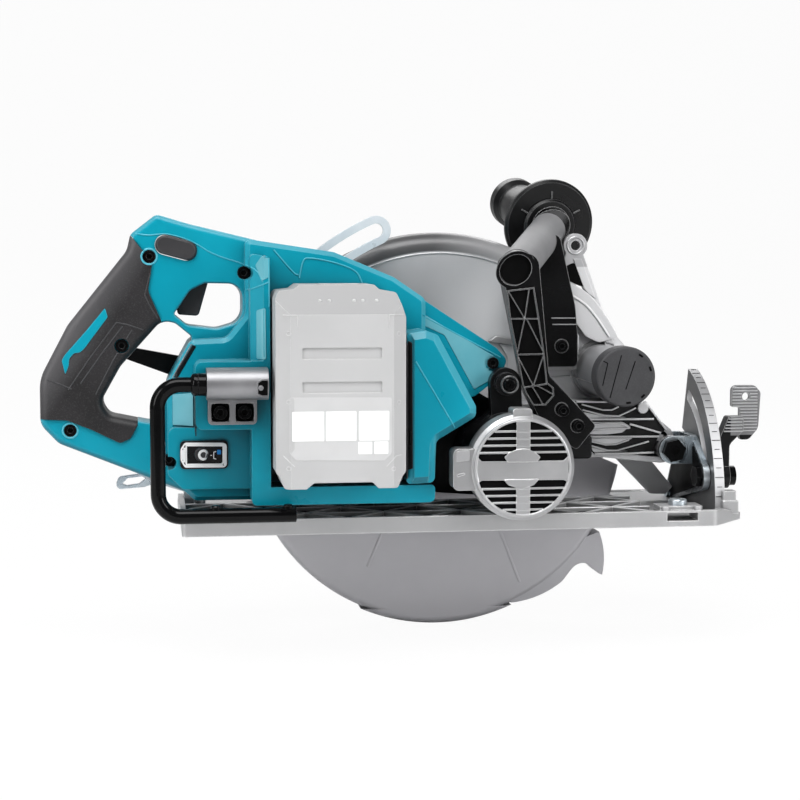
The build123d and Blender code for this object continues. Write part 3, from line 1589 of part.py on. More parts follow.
# Body and rear handle: two moulded halves that meet on a plane across the width
handle_corners = [
    (-212, 214.5, 5),
    (-229.5, 201, 7),
    (-232, 190, 14),
    (-272, 140, 30),
    (-291, 104, 30),
    (-291, 73, 12),
    (-279, 60, 12),
    (-190, 24, 12),
    (-140, 24, 8),
    (-140, 196, 8),
    (-190, 208, 40),
]
hole_corners = [
    (-209, 143, 10),
    (-237, 112, 14),
    (-250.5, 88, 9),
    (-245, 79, 8),
    (-212, 72, 8),
    (-206, 98, 16),
    (-188, 131, 4),
    (-200, 141, 8),
]
opening_corners = [
    (-180, 168, 3),
    (-154.5, 167.5, 10),
    (-154.5, 142, 11),
    (-172, 137, 12),
    (-192, 139.5, 8),
    (-201, 147, 2),
    (-190, 163, 8),
]
grip_mask_corners = [
    (-320, 230, 0),
    (-229, 200, 0),
    (-215, 182, 4),
    (-218, 163, 8),
    (-209, 142, 0),
    (-222, 120, 0),
    (-226, 72, 0),
    (-231, 63, 3),
    (-238, 60, 3),
    (-256, 69, 8),
    (-273, 76, 8),
    (-320, 78, 0),
]
body_corners = [
    (-206, 38, 5),
    (-206, 101, 8),
    (-190, 130, 6),
    (-166, 131, 8),
    (-153, 147, 8),
    (-153, 198, 4),
    (-93, 189, 8),
    (-52, 172, 10),
    (-30, 157, 6),
    (-30, 21, 4),
    (-188, 21, 6),
]
nose_corners = [
    (-48, 170, 4),
    (-30, 157, 10),
    (23, 122, 7),
    (30, 114, 5),
    (26, 103, 6),
    (6, 88, 6),
    (-48, 100, 2),
]
clamp_boss_top_z = 117
clamp_boss_corners = [
    (-188, 72, 5),
    (-140, 72, 1),
    (-140, clamp_boss_top_z, 1),
    (-188, clamp_boss_top_z, 5),
]
column_corners = [(-151, 26, 3), (-138.5, 26, 1), (-138.5, 186, 3), (-151, 188, 3)]
block_corners = [
    (-48, 34, 3),
    (-29, 35, 4),
    (-28, 63, 5),
    (-1, 79, 5),
    (-1, 86, 4),
    (-27, 134, 5),
    (-35, 137, 3),
    (-48, 135, 3),
]
block_bevel_depth = 4
block_bevel_angle = 50
column_bevel_low_z = clamp_boss_top_z + 0.5
column_bevel_corners = [(-152, cradle_near_y - 1, 0), (-142, cradle_near_y - 1, 0), (-152, -73, 0)]
nose_root_x = -29.9
nose_bevel_corners = [(nose_near_y - 1, 94, 0), (nose_near_y, 94, 0), (-33, 165, 0), (nose_near_y - 1, 165, 0)]
block_foot_corners = [(-48, 34, 3), (-29, 35, 4), (-29, 135, 4), (-48, 135, 3)]
shelf_corners = [(-151, 21, 3), (-28, 21, 4), (-28, 33, 3), (-151, 33, 1)]
panel_box_corners = [(-206, 40, 5), (-196, 30, 5), (-150, 30, 2), (-150, 71, 3), (-206, 72, 6)]
core_half = handle_half - (wall - grip_proud)
grip_half = handle_half + grip_proud
cover_inset = grip_thickness + wall
housing_screw_places = [(-217, 186), (-153.5, 175), (-236, 126), (-271, 69), (-205, 48)]
nose_screw_place = (19.8, 111.8)
nose_screw_seat = 2.6
trigger_corners = [
    (-177.5, 168, 2),
    (-184, 145.5, 3),
    (-198, 146.5, 2),
    (-199.5, 157, 3),
    (-199.5, 168, 3),
    (-196, 178, 4),
    (-182, 178, 4),
]
trigger_slot_corners = [
    (-172, 172, 0),
    (-180, 142, 0),
    (-207, 146, 0),
    (-208, 172, 0),
    (-198, 181, 0),
    (-177, 181, 0),
]
trigger_half = 8.5
trigger_pin_point = (-189, 172)
trigger_pin_radius = 2
lock_off_point = (-199, 192)
lock_off_length = 28
lock_off_height = 13
lock_off_tilt = -15


def lock_off_outline(grow):
    """The oblong of the lock-off button in side view."""
    with BuildSketch() as flat:
        with Locations(lock_off_point):
            SlotOverall(lock_off_length + 2 * grow, lock_off_height + 2 * grow, rotation=lock_off_tilt)
    return flat.sketch


def housing_half(side, body_depth, nose_depth):
    """One half of the body shell; side is -1 for the right half and 1 for the left."""
    outward = -side
    with BuildPart() as half:
        with BuildSketch(across(split_y)):
            add(outline(handle_corners))
            add(outline(hole_corners), mode=Mode.SUBTRACT)
            add(outline(opening_corners), mode=Mode.SUBTRACT)
        extrude(amount=outward * handle_half)
        fillet(faces().sort_by(Axis.Y, reverse=side > 0)[0].outer_wire().edges(), 4)
        for loop in faces().sort_by(Axis.Y, reverse=side > 0)[0].inner_wires():
            fillet(loop.edges(), 1.5)
        with BuildSketch(across(split_y)):
            add(outline(grip_mask_corners))
        extrude(amount=2 * outward * handle_half, mode=Mode.SUBTRACT)
        with BuildSketch(across(split_y)):
            add(outline(handle_corners, -grip_thickness))
            add(outline(hole_corners, grip_thickness), mode=Mode.SUBTRACT)
            add(outline(grip_mask_corners, 1), mode=Mode.INTERSECT)
        extrude(amount=outward * core_half)
        with BuildSketch(across(split_y)):
            add(outline(body_corners))
            add(outline(opening_corners), mode=Mode.SUBTRACT)
        extrude(amount=outward * body_depth)
        chamfer(faces().sort_by(Axis.Y, reverse=side > 0)[0].edges(), 3)
        with BuildSketch(across(split_y)):
            add(outline(nose_corners))
        extrude(amount=outward * nose_depth)
        with BuildSketch(across(split_y)):
            add(outline(body_corners, -wall))
            add(outline(opening_corners, wall), mode=Mode.SUBTRACT)
        extrude(amount=outward * (body_depth - wall), mode=Mode.SUBTRACT)
        with BuildSketch(across(split_y)):
            add(outline(handle_corners, -cover_inset))
            add(outline(hole_corners, cover_inset), mode=Mode.SUBTRACT)
            add(outline(opening_corners, wall), mode=Mode.SUBTRACT)
        extrude(amount=outward * (core_half - wall), mode=Mode.SUBTRACT)
        with BuildSketch(across(split_y)):
            with Locations(*housing_screw_places):
                Circle(screw_boss_radius)
        extrude(amount=outward * (core_half - 1))
        with BuildSketch(across(split_y)):
            add(outline(trigger_slot_corners))
        extrude(amount=outward * (trigger_half + side_clearance), mode=Mode.SUBTRACT)
        with BuildSketch(across(split_y)):
            add(lock_off_outline(side_clearance))
        extrude(amount=2 * outward * handle_half, mode=Mode.SUBTRACT)
        with BuildSketch(across(split_y)):
            with Locations(trigger_pin_point):
                Circle(trigger_pin_radius + seat_fit)
        extrude(amount=outward * (core_half - wall + 1.5), mode=Mode.SUBTRACT)
    return half


clamp_screw_places = [(-172, 84), (-156, 84)]
clamp_screw_radius = 2.5
clamp_screw_length = 14
clamp_screw_seat = 3
screw_reach = 12
head_seat_y = split_y - core_half + 1.5
with BuildPart() as housing_right:
    add(housing_half(-1, split_y - body_near_y, split_y - nose_near_y).part)
    with BuildSketch(across(body_near_y + wall)):
        add(outline(column_corners))
        add(outline(clamp_boss_corners))
        add(outline(shelf_corners))
    extrude(amount=body_near_y + wall - cradle_near_y)
    with BuildSketch(across(body_near_y + wall)):
        add(outline(block_foot_corners))
    extrude(amount=wall)
    with BuildSketch(across(body_near_y)):
        add(outline(block_corners))
    extrude(amount=body_near_y - block_near_y - block_bevel_depth)
    with BuildSketch(across(block_near_y + block_bevel_depth)):
        add(outline(block_corners))
    extrude(amount=block_bevel_depth, taper=block_bevel_angle)
    with BuildSketch(Plane.XY.offset(column_bevel_low_z)):
        add(outline(column_bevel_corners))
    extrude(amount=column_corners[3][1] - column_bevel_low_z, mode=Mode.SUBTRACT)
    with BuildSketch(forward(nose_root_x)):
        add(outline(nose_bevel_corners))
    extrude(amount=nose_corners[3][0] - nose_root_x + 1, mode=Mode.SUBTRACT)
    with BuildSketch(across(body_near_y + wall)):
        add(outline(panel_box_corners))
    extrude(amount=body_near_y + wall - panel_near_y)
    for place in housing_screw_places:
        with BuildSketch(across(split_y)):
            with Locations(place):
                Circle(screw_shank_radius + seat_fit)
        extrude(amount=3 * handle_half, mode=Mode.SUBTRACT)
        with BuildSketch(across(head_seat_y)):
            with Locations(place):
                Circle(screw_head_radius + 0.5)
        extrude(amount=3 * handle_half, mode=Mode.SUBTRACT)
    with BuildSketch(across(cradle_near_y)):
        with Locations(*clamp_screw_places):
            Circle(clamp_screw_radius + seat_fit)
    extrude(amount=-clamp_screw_length, mode=Mode.SUBTRACT)
    with BuildSketch(across(split_y)):
        with Locations(nose_screw_place):
            Circle(screw_shank_radius + seat_fit)
    extrude(amount=handle_half, mode=Mode.SUBTRACT)
    with BuildSketch(across(nose_near_y + nose_screw_seat)):
        with Locations(nose_screw_place):
            Circle(screw_head_radius + 0.5)
    extrude(amount=handle_half, mode=Mode.SUBTRACT)
finish(housing_right, "housing_right")

with BuildPart() as housing_left:
    add(housing_half(1, body_far_y - split_y, nose_far_y - split_y).part)
    with BuildSketch(across(split_y + screw_reach)):
        with Locations(*housing_screw_places, nose_screw_place):
            Circle(screw_shank_radius + seat_fit)
    extrude(amount=screw_reach, mode=Mode.SUBTRACT)
    with BuildSketch(across(body_far_y)):
        with Locations((-40, 60)):
            Rectangle(26, 90)
    extrude(amount=body_far_y - nose_far_y, mode=Mode.SUBTRACT)
finish(housing_left, "housing_left")

# Grip cover, a rubber sleeve over the rear of the handle
with BuildPart() as grip_cover:
    with BuildSketch(across(split_y + grip_half)):
        add(outline(handle_corners))
        add(outline(hole_corners), mode=Mode.SUBTRACT)
    extrude(amount=2 * grip_half)
    fillet(faces().sort_by(Axis.Y)[0].edges(), 6)
    fillet(faces().sort_by(Axis.Y)[-1].edges(), 6)
    with BuildSketch(across(split_y + grip_half)):
        add(outline(grip_mask_corners, -0.15))
    extrude(amount=2 * grip_half, mode=Mode.INTERSECT)
    with BuildSketch(across(split_y + core_half)):
        add(outline(handle_corners, -grip_thickness))
        add(outline(hole_corners, grip_thickness), mode=Mode.SUBTRACT)
    extrude(amount=2 * core_half, mode=Mode.SUBTRACT)
    for place in housing_screw_places:
        with BuildSketch(across(split_y)):
            with Locations(place):
                Circle(screw_head_radius + 1)
        extrude(amount=2 * handle_half, mode=Mode.SUBTRACT)
finish(grip_cover, "grip_cover")

# Housing screws
with BuildPart() as housing_screws:
    for place, seat_y in [(place, head_seat_y) for place in housing_screw_places] + [
        (nose_screw_place, nose_near_y + nose_screw_seat)
    ]:
        add(
            cap_screw(
                place,
                seat_y,
                screw_reach - 1 + split_y - seat_y,
                screw_head_radius,
                screw_shank_radius,
                screw_head_height,
            ).part
        )
finish(housing_screws, "housing_screws")

# Trigger on its pin, and the switch behind it
with BuildPart() as trigger:
    with BuildSketch(across(split_y + trigger_half)):
        add(outline(trigger_corners))
        with Locations(trigger_pin_point):
            Circle(trigger_pin_radius + running_fit, mode=Mode.SUBTRACT)
    extrude(amount=2 * trigger_half)
    fillet(edges().filter_by(Axis.Y, reverse=True).filter_by(
        lambda edge: edge.center().X > -184 and edge.center().Z < 166
    ), 1.5)
finish(trigger, "trigger")

pin_reach = core_half - wall + 1.2
with BuildPart() as trigger_pin:
    with BuildSketch(across(split_y + pin_reach)):
        with Locations(trigger_pin_point):
            Circle(trigger_pin_radius)
    extrude(amount=2 * pin_reach)
finish(trigger_pin, "trigger_pin")

switch_half = core_half - wall
with BuildPart() as trigger_switch:
    with BuildSketch(across(split_y + switch_half)):
        with Locations((-226, 163)):
            RectangleRounded(20, 22, 2)
    extrude(amount=2 * switch_half)
    with BuildSketch(across(split_y + 4)):
        with Locations((-209.5, 163)):
            Rectangle(14, 7)
    extrude(amount=8)
finish(trigger_switch, "trigger_switch")

# Lock-off button, an oblong slide that shows on both sides of the handle
lock_off_half = handle_half + 2.5
with BuildPart() as lock_off_button:
    with BuildSketch(across(split_y + lock_off_half)):
        add(lock_off_outline(0))
    extrude(amount=2 * lock_off_half)
    chamfer(faces().sort_by(Axis.Y)[0].edges(), 1.2)
    chamfer(faces().sort_by(Axis.Y)[-1].edges(), 1.2)
finish(lock_off_button, "lock_off_button")

# Control panel with a push button
panel_point = (-182, 53.5)
panel_button_point = (-184, 54)
panel_button_radius = 4.3
panel_button_travel = 0.8
panel_thickness = 2
with BuildPart() as control_panel:
    with BuildSketch(across(panel_near_y)):
        with Locations(panel_point):
            RectangleRounded(32, 19, 3)
        with Locations(panel_button_point):
            Circle(panel_button_radius + side_clearance, mode=Mode.SUBTRACT)
    extrude(amount=panel_thickness)
finish(control_panel, "control_panel")

with BuildPart() as panel_button:
    with BuildSketch(across(panel_near_y - panel_button_travel - 0.2)):
        with Locations(panel_button_point):
            Circle(panel_button_radius)
    extrude(amount=panel_thickness - 0.2)
    chamfer(faces().sort_by(Axis.Y)[0].edges(), 0.5)
finish(panel_button, "panel_button")

# Battery mount: a pair of rails in one plate on the body, with the terminal block below
mount_middle_x = (battery_left_x + battery_right_x) / 2
rail_height = rail_top_z - rail_low_z
mount_plate_y = body_near_y - 1.6
rail_fit = 0.35
terminal_width = 30
terminal_pocket_height = 36
with BuildPart() as battery_mount:
    with BuildSketch(across(body_near_y)):
        with Locations((mount_middle_x, (rail_low_z + rail_top_z) / 2)):
            RectangleRounded(rail_width + 12, rail_height + 8, 3)
    extrude(amount=body_near_y - mount_plate_y)
    with BuildSketch(Plane.XY.offset(rail_low_z)):
        with BuildLine():
            Polyline(
                (mount_middle_x - rail_neck_width / 2, mount_plate_y + 0.5),
                (mount_middle_x - rail_neck_width / 2, mount_plate_y - rail_neck_depth),
                (mount_middle_x - rail_width / 2, mount_plate_y - rail_neck_depth),
                (mount_middle_x - rail_width / 2, mount_plate_y - rail_depth),
                (mount_middle_x + rail_width / 2, mount_plate_y - rail_depth),
                (mount_middle_x + rail_width / 2, mount_plate_y - rail_neck_depth),
                (mount_middle_x + rail_neck_width / 2, mount_plate_y - rail_neck_depth),
                (mount_middle_x + rail_neck_width / 2, mount_plate_y + 0.5),
                close=True,
            )
        make_face()
    extrude(amount=rail_height)
    with BuildSketch(Plane.XY.offset(rail_low_z)):
        with Locations((mount_middle_x, mount_plate_y - rail_depth / 2 - 1.5)):
            Rectangle(terminal_width, rail_depth - 3)
    extrude(amount=terminal_pocket_height, mode=Mode.SUBTRACT)
finish(battery_mount, "battery_mount")

terminal_height = 20
terminal_low_z = rail_low_z + terminal_pocket_height - terminal_height
with BuildPart() as terminal_block:
    with BuildSketch(Plane.XY.offset(terminal_low_z)):
        with Locations((mount_middle_x, mount_plate_y - rail_depth / 2 - 0.5)):
            Rectangle(terminal_width, rail_depth - 5)
    extrude(amount=terminal_height)
    with BuildSketch(Plane.XY.offset(terminal_low_z)):
        for blade_step in (-10, -3.5, 3.5, 10):
            with Locations((mount_middle_x + blade_step, mount_plate_y - rail_depth / 2 - 0.5)):
                Rectangle(2.5, rail_depth - 5)
    extrude(amount=-10)
finish(terminal_block, "terminal_block")

# Battery case, with a tee-shaped channel in its back that runs over the rails from above
battery_corners = [
    (battery_left_x, 46, 2),
    (battery_left_x + 2.5, 43, 2),
    (battery_left_x + 5, battery_low_z, 2),
    (battery_left_x + 19, battery_low_z, 1.5),
    (battery_left_x + 24, battery_low_z + 4, 1.5),
    (battery_right_x - 23, battery_low_z + 4, 1.5),
    (battery_right_x - 19, battery_low_z, 1.5),
    (battery_right_x - 6, battery_low_z, 2),
    (battery_right_x - 2.5, 43, 2),
    (battery_right_x, 46, 2),
    (battery_right_x, 147, 4),
    (battery_right_x - 6, 163, 3),
    (battery_right_x - 17, 165, 1.5),
    (battery_right_x - 20, battery_top_z, 2),
    (battery_left_x + 16, battery_top_z, 2),
    (battery_left_x + 12, 165, 1.5),
    (battery_left_x + 2, 164, 3),
    (battery_left_x, 159, 3),
]
battery_bands = [102, 124]
channel_top_z = rail_top_z + rail_fit
button_width = 27
button_depth = 11
button_height = 9
button_y = -96
with BuildPart() as battery_case:
    with BuildSketch(across(battery_back_y)):
        add(outline(battery_corners))
    extrude(amount=battery_back_y - battery_near_y)
    with BuildSketch(forward(battery_left_x)):
        with BuildLine():
            Polyline(
                (battery_near_y, battery_top_z - battery_slope_drop),
                (battery_near_y, battery_top_z),
                (battery_near_y + battery_slope_run, battery_top_z),
                close=True,
            )
        make_face()
    extrude(amount=battery_right_x - battery_left_x, mode=Mode.SUBTRACT)
    with BuildSketch(Plane.XY.offset(battery_low_z)):
        for edge_x, inward in ((battery_left_x, 1), (battery_right_x, -1)):
            with BuildLine():
                Polyline(
                    (edge_x, battery_near_y + battery_side_run),
                    (edge_x, battery_near_y),
                    (edge_x + inward * battery_side_cut, battery_near_y),
                    close=True,
                )
            make_face()
    extrude(amount=battery_top_z, mode=Mode.SUBTRACT)
    with BuildSketch(Plane.XY.offset(channel_top_z)):
        with BuildLine():
            Polyline(
                (mount_middle_x - rail_neck_width / 2 - rail_fit, battery_back_y + 1),
                (mount_middle_x - rail_neck_width / 2 - rail_fit, mount_plate_y - rail_neck_depth + rail_fit),
                (mount_middle_x - rail_width / 2 - rail_fit, mount_plate_y - rail_neck_depth + rail_fit),
                (mount_middle_x - rail_width / 2 - rail_fit, mount_plate_y - rail_depth - rail_fit),
                (mount_middle_x + rail_width / 2 + rail_fit, mount_plate_y - rail_depth - rail_fit),
                (mount_middle_x + rail_width / 2 + rail_fit, mount_plate_y - rail_neck_depth + rail_fit),
                (mount_middle_x + rail_neck_width / 2 + rail_fit, mount_plate_y - rail_neck_depth + rail_fit),
                (mount_middle_x + rail_neck_width / 2 + rail_fit, battery_back_y + 1),
                close=True,
            )
        make_face()
    extrude(amount=-200, mode=Mode.SUBTRACT)
    with BuildSketch(Plane.XY.offset(battery_top_z)):
        with Locations((mount_middle_x, button_y)):
            Rectangle(button_width + 2 * rail_fit, button_depth + 2 * rail_fit)
    extrude(amount=-button_height - release_travel - 0.5, mode=Mode.SUBTRACT)
    with BuildSketch(across(battery_near_y)):
        for band_z in battery_bands:
            with Locations((mount_middle_x, band_z)):
                RectangleRounded(52, 7.2, 1.2)
    extrude(amount=-1, mode=Mode.SUBTRACT)
finish(battery_case, "battery_case")

with BuildPart() as battery_release_button:
    with BuildSketch(Plane.XY.offset(battery_top_z + 0.6)):
        with Locations((mount_middle_x, button_y)):
            RectangleRounded(button_width, button_depth, 2)
    extrude(amount=-button_height)
finish(battery_release_button, "battery_release_button")

# Controller board in its tray, against the far wall of the body
with BuildPart() as controller:
    with BuildSketch(across(body_far_y - wall)):
        with Locations((-95, 80)):
            RectangleRounded(70, 60, 4)
    extrude(amount=6)
    with BuildSketch(across(body_far_y - wall - 6)):
        for column in range(3):
            with Locations((-116 + 20 * column, 84)):
                Rectangle(13, 32)
    extrude(amount=9)
finish(controller, "controller")

# Hook: a bent rod held in a clamp barrel, with a stop collar beside the barrel
hook_front_x = clamp_front_x - 4
hook_corners = [
    (hook_front_x, hook_axis_z),
    (hook_rear_x, hook_axis_z),
    (hook_rear_x, hook_low_z),
    (hook_end_x, hook_low_z),
]
with BuildPart() as hook_rod:
    with BuildLine(across(hook_axis_y)) as hook_path:
        FilletPolyline(*hook_corners, radius=hook_bend)
    with BuildSketch(forward(hook_front_x)):
        with Locations((hook_axis_y, hook_axis_z)):
            Circle(hook_rod_radius)
    sweep(path=hook_path.line)
    with BuildSketch(forward(clamp_rear_x - 0.4)):
        with Locations((hook_axis_y, hook_axis_z)):
            Circle(hook_rod_radius + 2.5)
    extrude(amount=-5)
finish(hook_rod, "hook_rod")

clamp_tab_corners = [(clamp_rear_x + 1, 76, 3), (-148, 76, 3), (-148, 98, 1), (clamp_rear_x + 1, 98, 1)]
clamp_tab_thickness = 7
clamp_head_y = cradle_near_y - clamp_tab_thickness + clamp_screw_seat
with BuildPart() as hook_clamp:
    with BuildSketch(forward(clamp_rear_x)):
        with Locations((hook_axis_y, hook_axis_z)):
            Circle(clamp_radius)
        with Locations(((hook_axis_y + cradle_near_y) / 2, hook_axis_z)):
            Rectangle(cradle_near_y - hook_axis_y, 2 * clamp_radius)
        with Locations((hook_axis_y, hook_axis_z)):
            Circle(hook_rod_radius + running_fit, mode=Mode.SUBTRACT)
    extrude(amount=clamp_front_x - clamp_rear_x)
    with BuildSketch(across(cradle_near_y)):
        add(outline(clamp_tab_corners))
    extrude(amount=clamp_tab_thickness)
    with BuildSketch(forward(clamp_rear_x)):
        with Locations((hook_axis_y, hook_axis_z)):
            Circle(hook_rod_radius + running_fit)
    extrude(amount=clamp_front_x - clamp_rear_x, mode=Mode.SUBTRACT)
    for place in clamp_screw_places:
        with BuildSketch(across(cradle_near_y)):
            with Locations(place):
                Circle(clamp_screw_radius + seat_fit)
        extrude(amount=clamp_tab_thickness, mode=Mode.SUBTRACT)
        with BuildSketch(across(clamp_head_y)):
            with Locations(place):
                Rectangle(12, 12)
        extrude(amount=10, mode=Mode.SUBTRACT)
finish(hook_clamp, "hook_clamp")

with BuildPart() as hook_clamp_screws:
    for place in clamp_screw_places:
        add(cap_screw(place, clamp_head_y, clamp_screw_length, 4.5, clamp_screw_radius, 3.5).part)
finish(hook_clamp_screws, "hook_clamp_screws")
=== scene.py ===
from math import asin, cos, degrees, pi, radians, sin, sqrt

import bmesh
import bpy
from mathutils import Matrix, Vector
from mathutils.bvhtree import BVHTree


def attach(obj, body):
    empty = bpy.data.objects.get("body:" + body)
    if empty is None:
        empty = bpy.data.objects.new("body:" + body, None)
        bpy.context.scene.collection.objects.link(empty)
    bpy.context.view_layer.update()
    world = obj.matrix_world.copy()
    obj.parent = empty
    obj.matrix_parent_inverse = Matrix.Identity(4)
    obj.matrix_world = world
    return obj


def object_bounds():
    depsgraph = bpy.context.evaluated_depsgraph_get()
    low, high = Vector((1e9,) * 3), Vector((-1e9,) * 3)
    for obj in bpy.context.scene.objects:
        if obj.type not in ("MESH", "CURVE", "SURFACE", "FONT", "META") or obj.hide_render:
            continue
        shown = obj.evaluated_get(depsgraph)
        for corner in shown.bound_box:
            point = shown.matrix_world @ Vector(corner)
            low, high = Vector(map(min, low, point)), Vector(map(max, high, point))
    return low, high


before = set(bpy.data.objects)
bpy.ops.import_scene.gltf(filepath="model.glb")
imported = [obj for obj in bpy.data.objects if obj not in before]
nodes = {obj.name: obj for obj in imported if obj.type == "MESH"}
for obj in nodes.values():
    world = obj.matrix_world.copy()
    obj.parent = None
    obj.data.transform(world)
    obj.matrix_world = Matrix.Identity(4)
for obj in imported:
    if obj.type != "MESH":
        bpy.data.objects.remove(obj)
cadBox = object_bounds()
scene = bpy.context.scene
mm = 0.001
print("saw frame loaded:", len(nodes), "nodes")


# material building blocks

vectorMath = "ShaderNodeVectorMath"
plainMath = "ShaderNodeMath"
shadeSteps = {"cornerShade": (0.0, 0.75), "speck": (0.52, 0.74), "edgeHighlight": (0.80, 0.99), "rough": (0.3, 0.7)}
bumpDepth = 0.0002


def newMaterial(name):
    mat = bpy.data.materials.new(name)
    mat.use_nodes = True
    tree = mat.node_tree
    return mat, tree, tree.nodes["Principled BSDF"]


def addNode(tree, kind, **inputs):
    node = tree.nodes.new(kind)
    for key, value in inputs.items():
        node.inputs[key.replace("_", " ")].default_value = value
    return node


def combined(tree, kind, operation, inputs, output="Value"):      # maths on links or fixed values
    node = tree.nodes.new(kind)
    node.operation = operation
    for socket, value in zip(node.inputs, inputs):
        if isinstance(value, bpy.types.NodeSocket):
            tree.links.new(value, socket)
        else:
            socket.default_value = value
    return node.outputs[output]


def objectPlace(tree):
    return tree.nodes.new("ShaderNodeTexCoord").outputs["Object"]


def axesOf(tree, vector):
    split = tree.nodes.new("ShaderNodeSeparateXYZ")
    tree.links.new(vector, split.inputs["Vector"])
    return split.outputs


def grain(tree, scale, detail=3.0, rough=0.55, stretch=(1, 1, 1)):
    mapping = addNode(tree, "ShaderNodeMapping", Scale=stretch)
    tree.links.new(objectPlace(tree), mapping.inputs["Vector"])
    noise = addNode(tree, "ShaderNodeTexNoise", Scale=scale, Detail=detail, Roughness=rough)
    tree.links.new(mapping.outputs["Vector"], noise.inputs["Vector"])
    return noise.outputs["Fac"]


def spanned(tree, value, fromLow, fromHigh, toLow, toHigh):
    span = addNode(tree, "ShaderNodeMapRange", From_Min=fromLow, From_Max=fromHigh,
                   To_Min=toLow, To_Max=toHigh)
    tree.links.new(value, span.inputs["Value"])
    return span.outputs["Result"]


def colourBetween(tree, factor, low, high, start=0.35, end=0.65):
    ramp = tree.nodes.new("ShaderNodeValToRGB")
    ramp.color_ramp.elements[0].position = start
    ramp.color_ramp.elements[0].color = (*low, 1)
    ramp.color_ramp.elements[1].position = end
    ramp.color_ramp.elements[1].color = (*high, 1)
    tree.links.new(factor, ramp.inputs["Fac"])
    return ramp.outputs["Color"]


def mixed(tree, factor, colour, other):
    blend = tree.nodes.new("ShaderNodeMix")
    blend.data_type = "RGBA"
    tree.links.new(factor, blend.inputs["Factor"])
    tree.links.new(colour, blend.inputs["A"])
    blend.inputs["B"].default_value = (*other, 1)
    return blend.outputs["Result"]


def shadeInCorners(tree, colour, look):              # painted shade: darker in corners and pockets, found by ambient occlusion
    shadow = tree.nodes.new("ShaderNodeAmbientOcclusion")
    shadow.samples = 5
    shadow.inputs["Distance"].default_value = look["seam"]
    share = spanned(tree, shadow.outputs["AO"], *shadeSteps["cornerShade"], look["cornerShade"], 0.0)
    return mixed(tree, share, colour, look["deep"])


def softEdge(tree, radius):                  # rounds the shading over sharp edges
    bevel = addNode(tree, "ShaderNodeBevel", Radius=radius)
    bevel.samples = 4
    normals = (bevel.outputs["Normal"], tree.nodes.new("ShaderNodeNewGeometry").outputs["Normal"])
    return normals[0], combined(tree, vectorMath, "DOT_PRODUCT", normals)


def rimReflection(tree, colour, band):           # painted dark reflection on the rim of the upper guard, gone towards its front
    shift = combined(tree, vectorMath, "SUBTRACT", (objectPlace(tree), band["arbor"]), "Vector")
    flat = combined(tree, vectorMath, "MULTIPLY", (shift, (1, 0, 1)), "Vector")
    distance = combined(tree, vectorMath, "LENGTH", (flat,))
    rim = spanned(tree, distance, band["start"], band["full"], 0.0, 1.0)
    fade = spanned(tree, axesOf(tree, objectPlace(tree))["X"], *band["fadeX"], band["share"], 0.0)
    return mixed(tree, combined(tree, plainMath, "MULTIPLY", (rim, fade)), colour, band["colour"])


def paintLightByFacing(tree, colour, facingLight):       # painted light and shade: another colour on faces that look one way
    facing = tree.nodes.new("ShaderNodeNewGeometry").outputs["Normal"]
    side = axesOf(tree, facing)[facingLight["axis"]]
    share = spanned(tree, side, facingLight["start"], facingLight["end"], 0.0, facingLight["share"])
    return mixed(tree, share, colour, facingLight["colour"])


def gradedAlong(tree, colour, fade):         # another colour that grows along one direction; painted sheen and light where noted
    along = combined(tree, vectorMath, "DOT_PRODUCT", (objectPlace(tree), fade["direction"]))
    share = spanned(tree, along, fade["start"], fade["end"], 0.0, fade["share"])
    return mixed(tree, share, colour, fade["colour"])


def insideBox(tree, box, blur=0.0003):       # 1 between the limits of each named axis, else 0
    axes = axesOf(tree, objectPlace(tree))
    inside = None
    for axis, (low, high) in box.items():
        for level, below, above in ((low, 0.0, 1.0), (high, 1.0, 0.0)):
            step = spanned(tree, axes[axis], level - blur, level + blur, below, above)
            inside = step if inside is None else combined(tree, plainMath, "MULTIPLY", (inside, step))
    return inside


def surfaceFinish(name, look):
    mat, tree, shader = newMaterial(name)
    broad = grain(tree, look["cloud"], detail=4.0)
    fine = grain(tree, look["grain"], detail=2.0, stretch=look.get("stretch", (1, 1, 1)))
    colour = colourBetween(tree, broad, look["low"], look["high"])
    if "speck" in look:
        share = spanned(tree, fine, *shadeSteps["speck"], 0.0, look["speckShare"])
        colour = mixed(tree, share, colour, look["speck"])
    if "band" in look:
        colour = rimReflection(tree, colour, look["band"])
    for fade in look.get("fades", []):
        colour = gradedAlong(tree, colour, fade)
    for patch in look.get("painted", []):    # a second colour inside a box
        colour = mixed(tree, insideBox(tree, patch["box"]), colour, patch["colour"])
    # painted light and shade by facing
    for facingLight in look.get("lightByFacing", []):
        colour = paintLightByFacing(tree, colour, facingLight)
    # painted shade in corners and pockets
    colour = shadeInCorners(tree, colour, look)
    normal, match = softEdge(tree, look["edgeRadius"])
    # painted highlight: the edge colour on sharp edges, found by the bevel normal
    edgeHighlight = spanned(tree, match, *shadeSteps["edgeHighlight"], look["edgeShare"], 0.0)
    tree.links.new(mixed(tree, edgeHighlight, colour, look["edge"]), shader.inputs["Base Color"])
    tree.links.new(spanned(tree, broad, *shadeSteps["rough"], *look["rough"]), shader.inputs["Roughness"])
    bump = addNode(tree, "ShaderNodeBump", Strength=look["bump"], Distance=bumpDepth)
    tree.links.new(fine, bump.inputs["Height"])
    tree.links.new(normal, bump.inputs["Normal"])
    tree.links.new(bump.outputs["Normal"], shader.inputs["Normal"])
    shader.inputs["Metallic"].default_value = look.get("metal", 0.0)
    shader.inputs["Specular IOR Level"].default_value = look.get("spec", 0.5)
    return mat


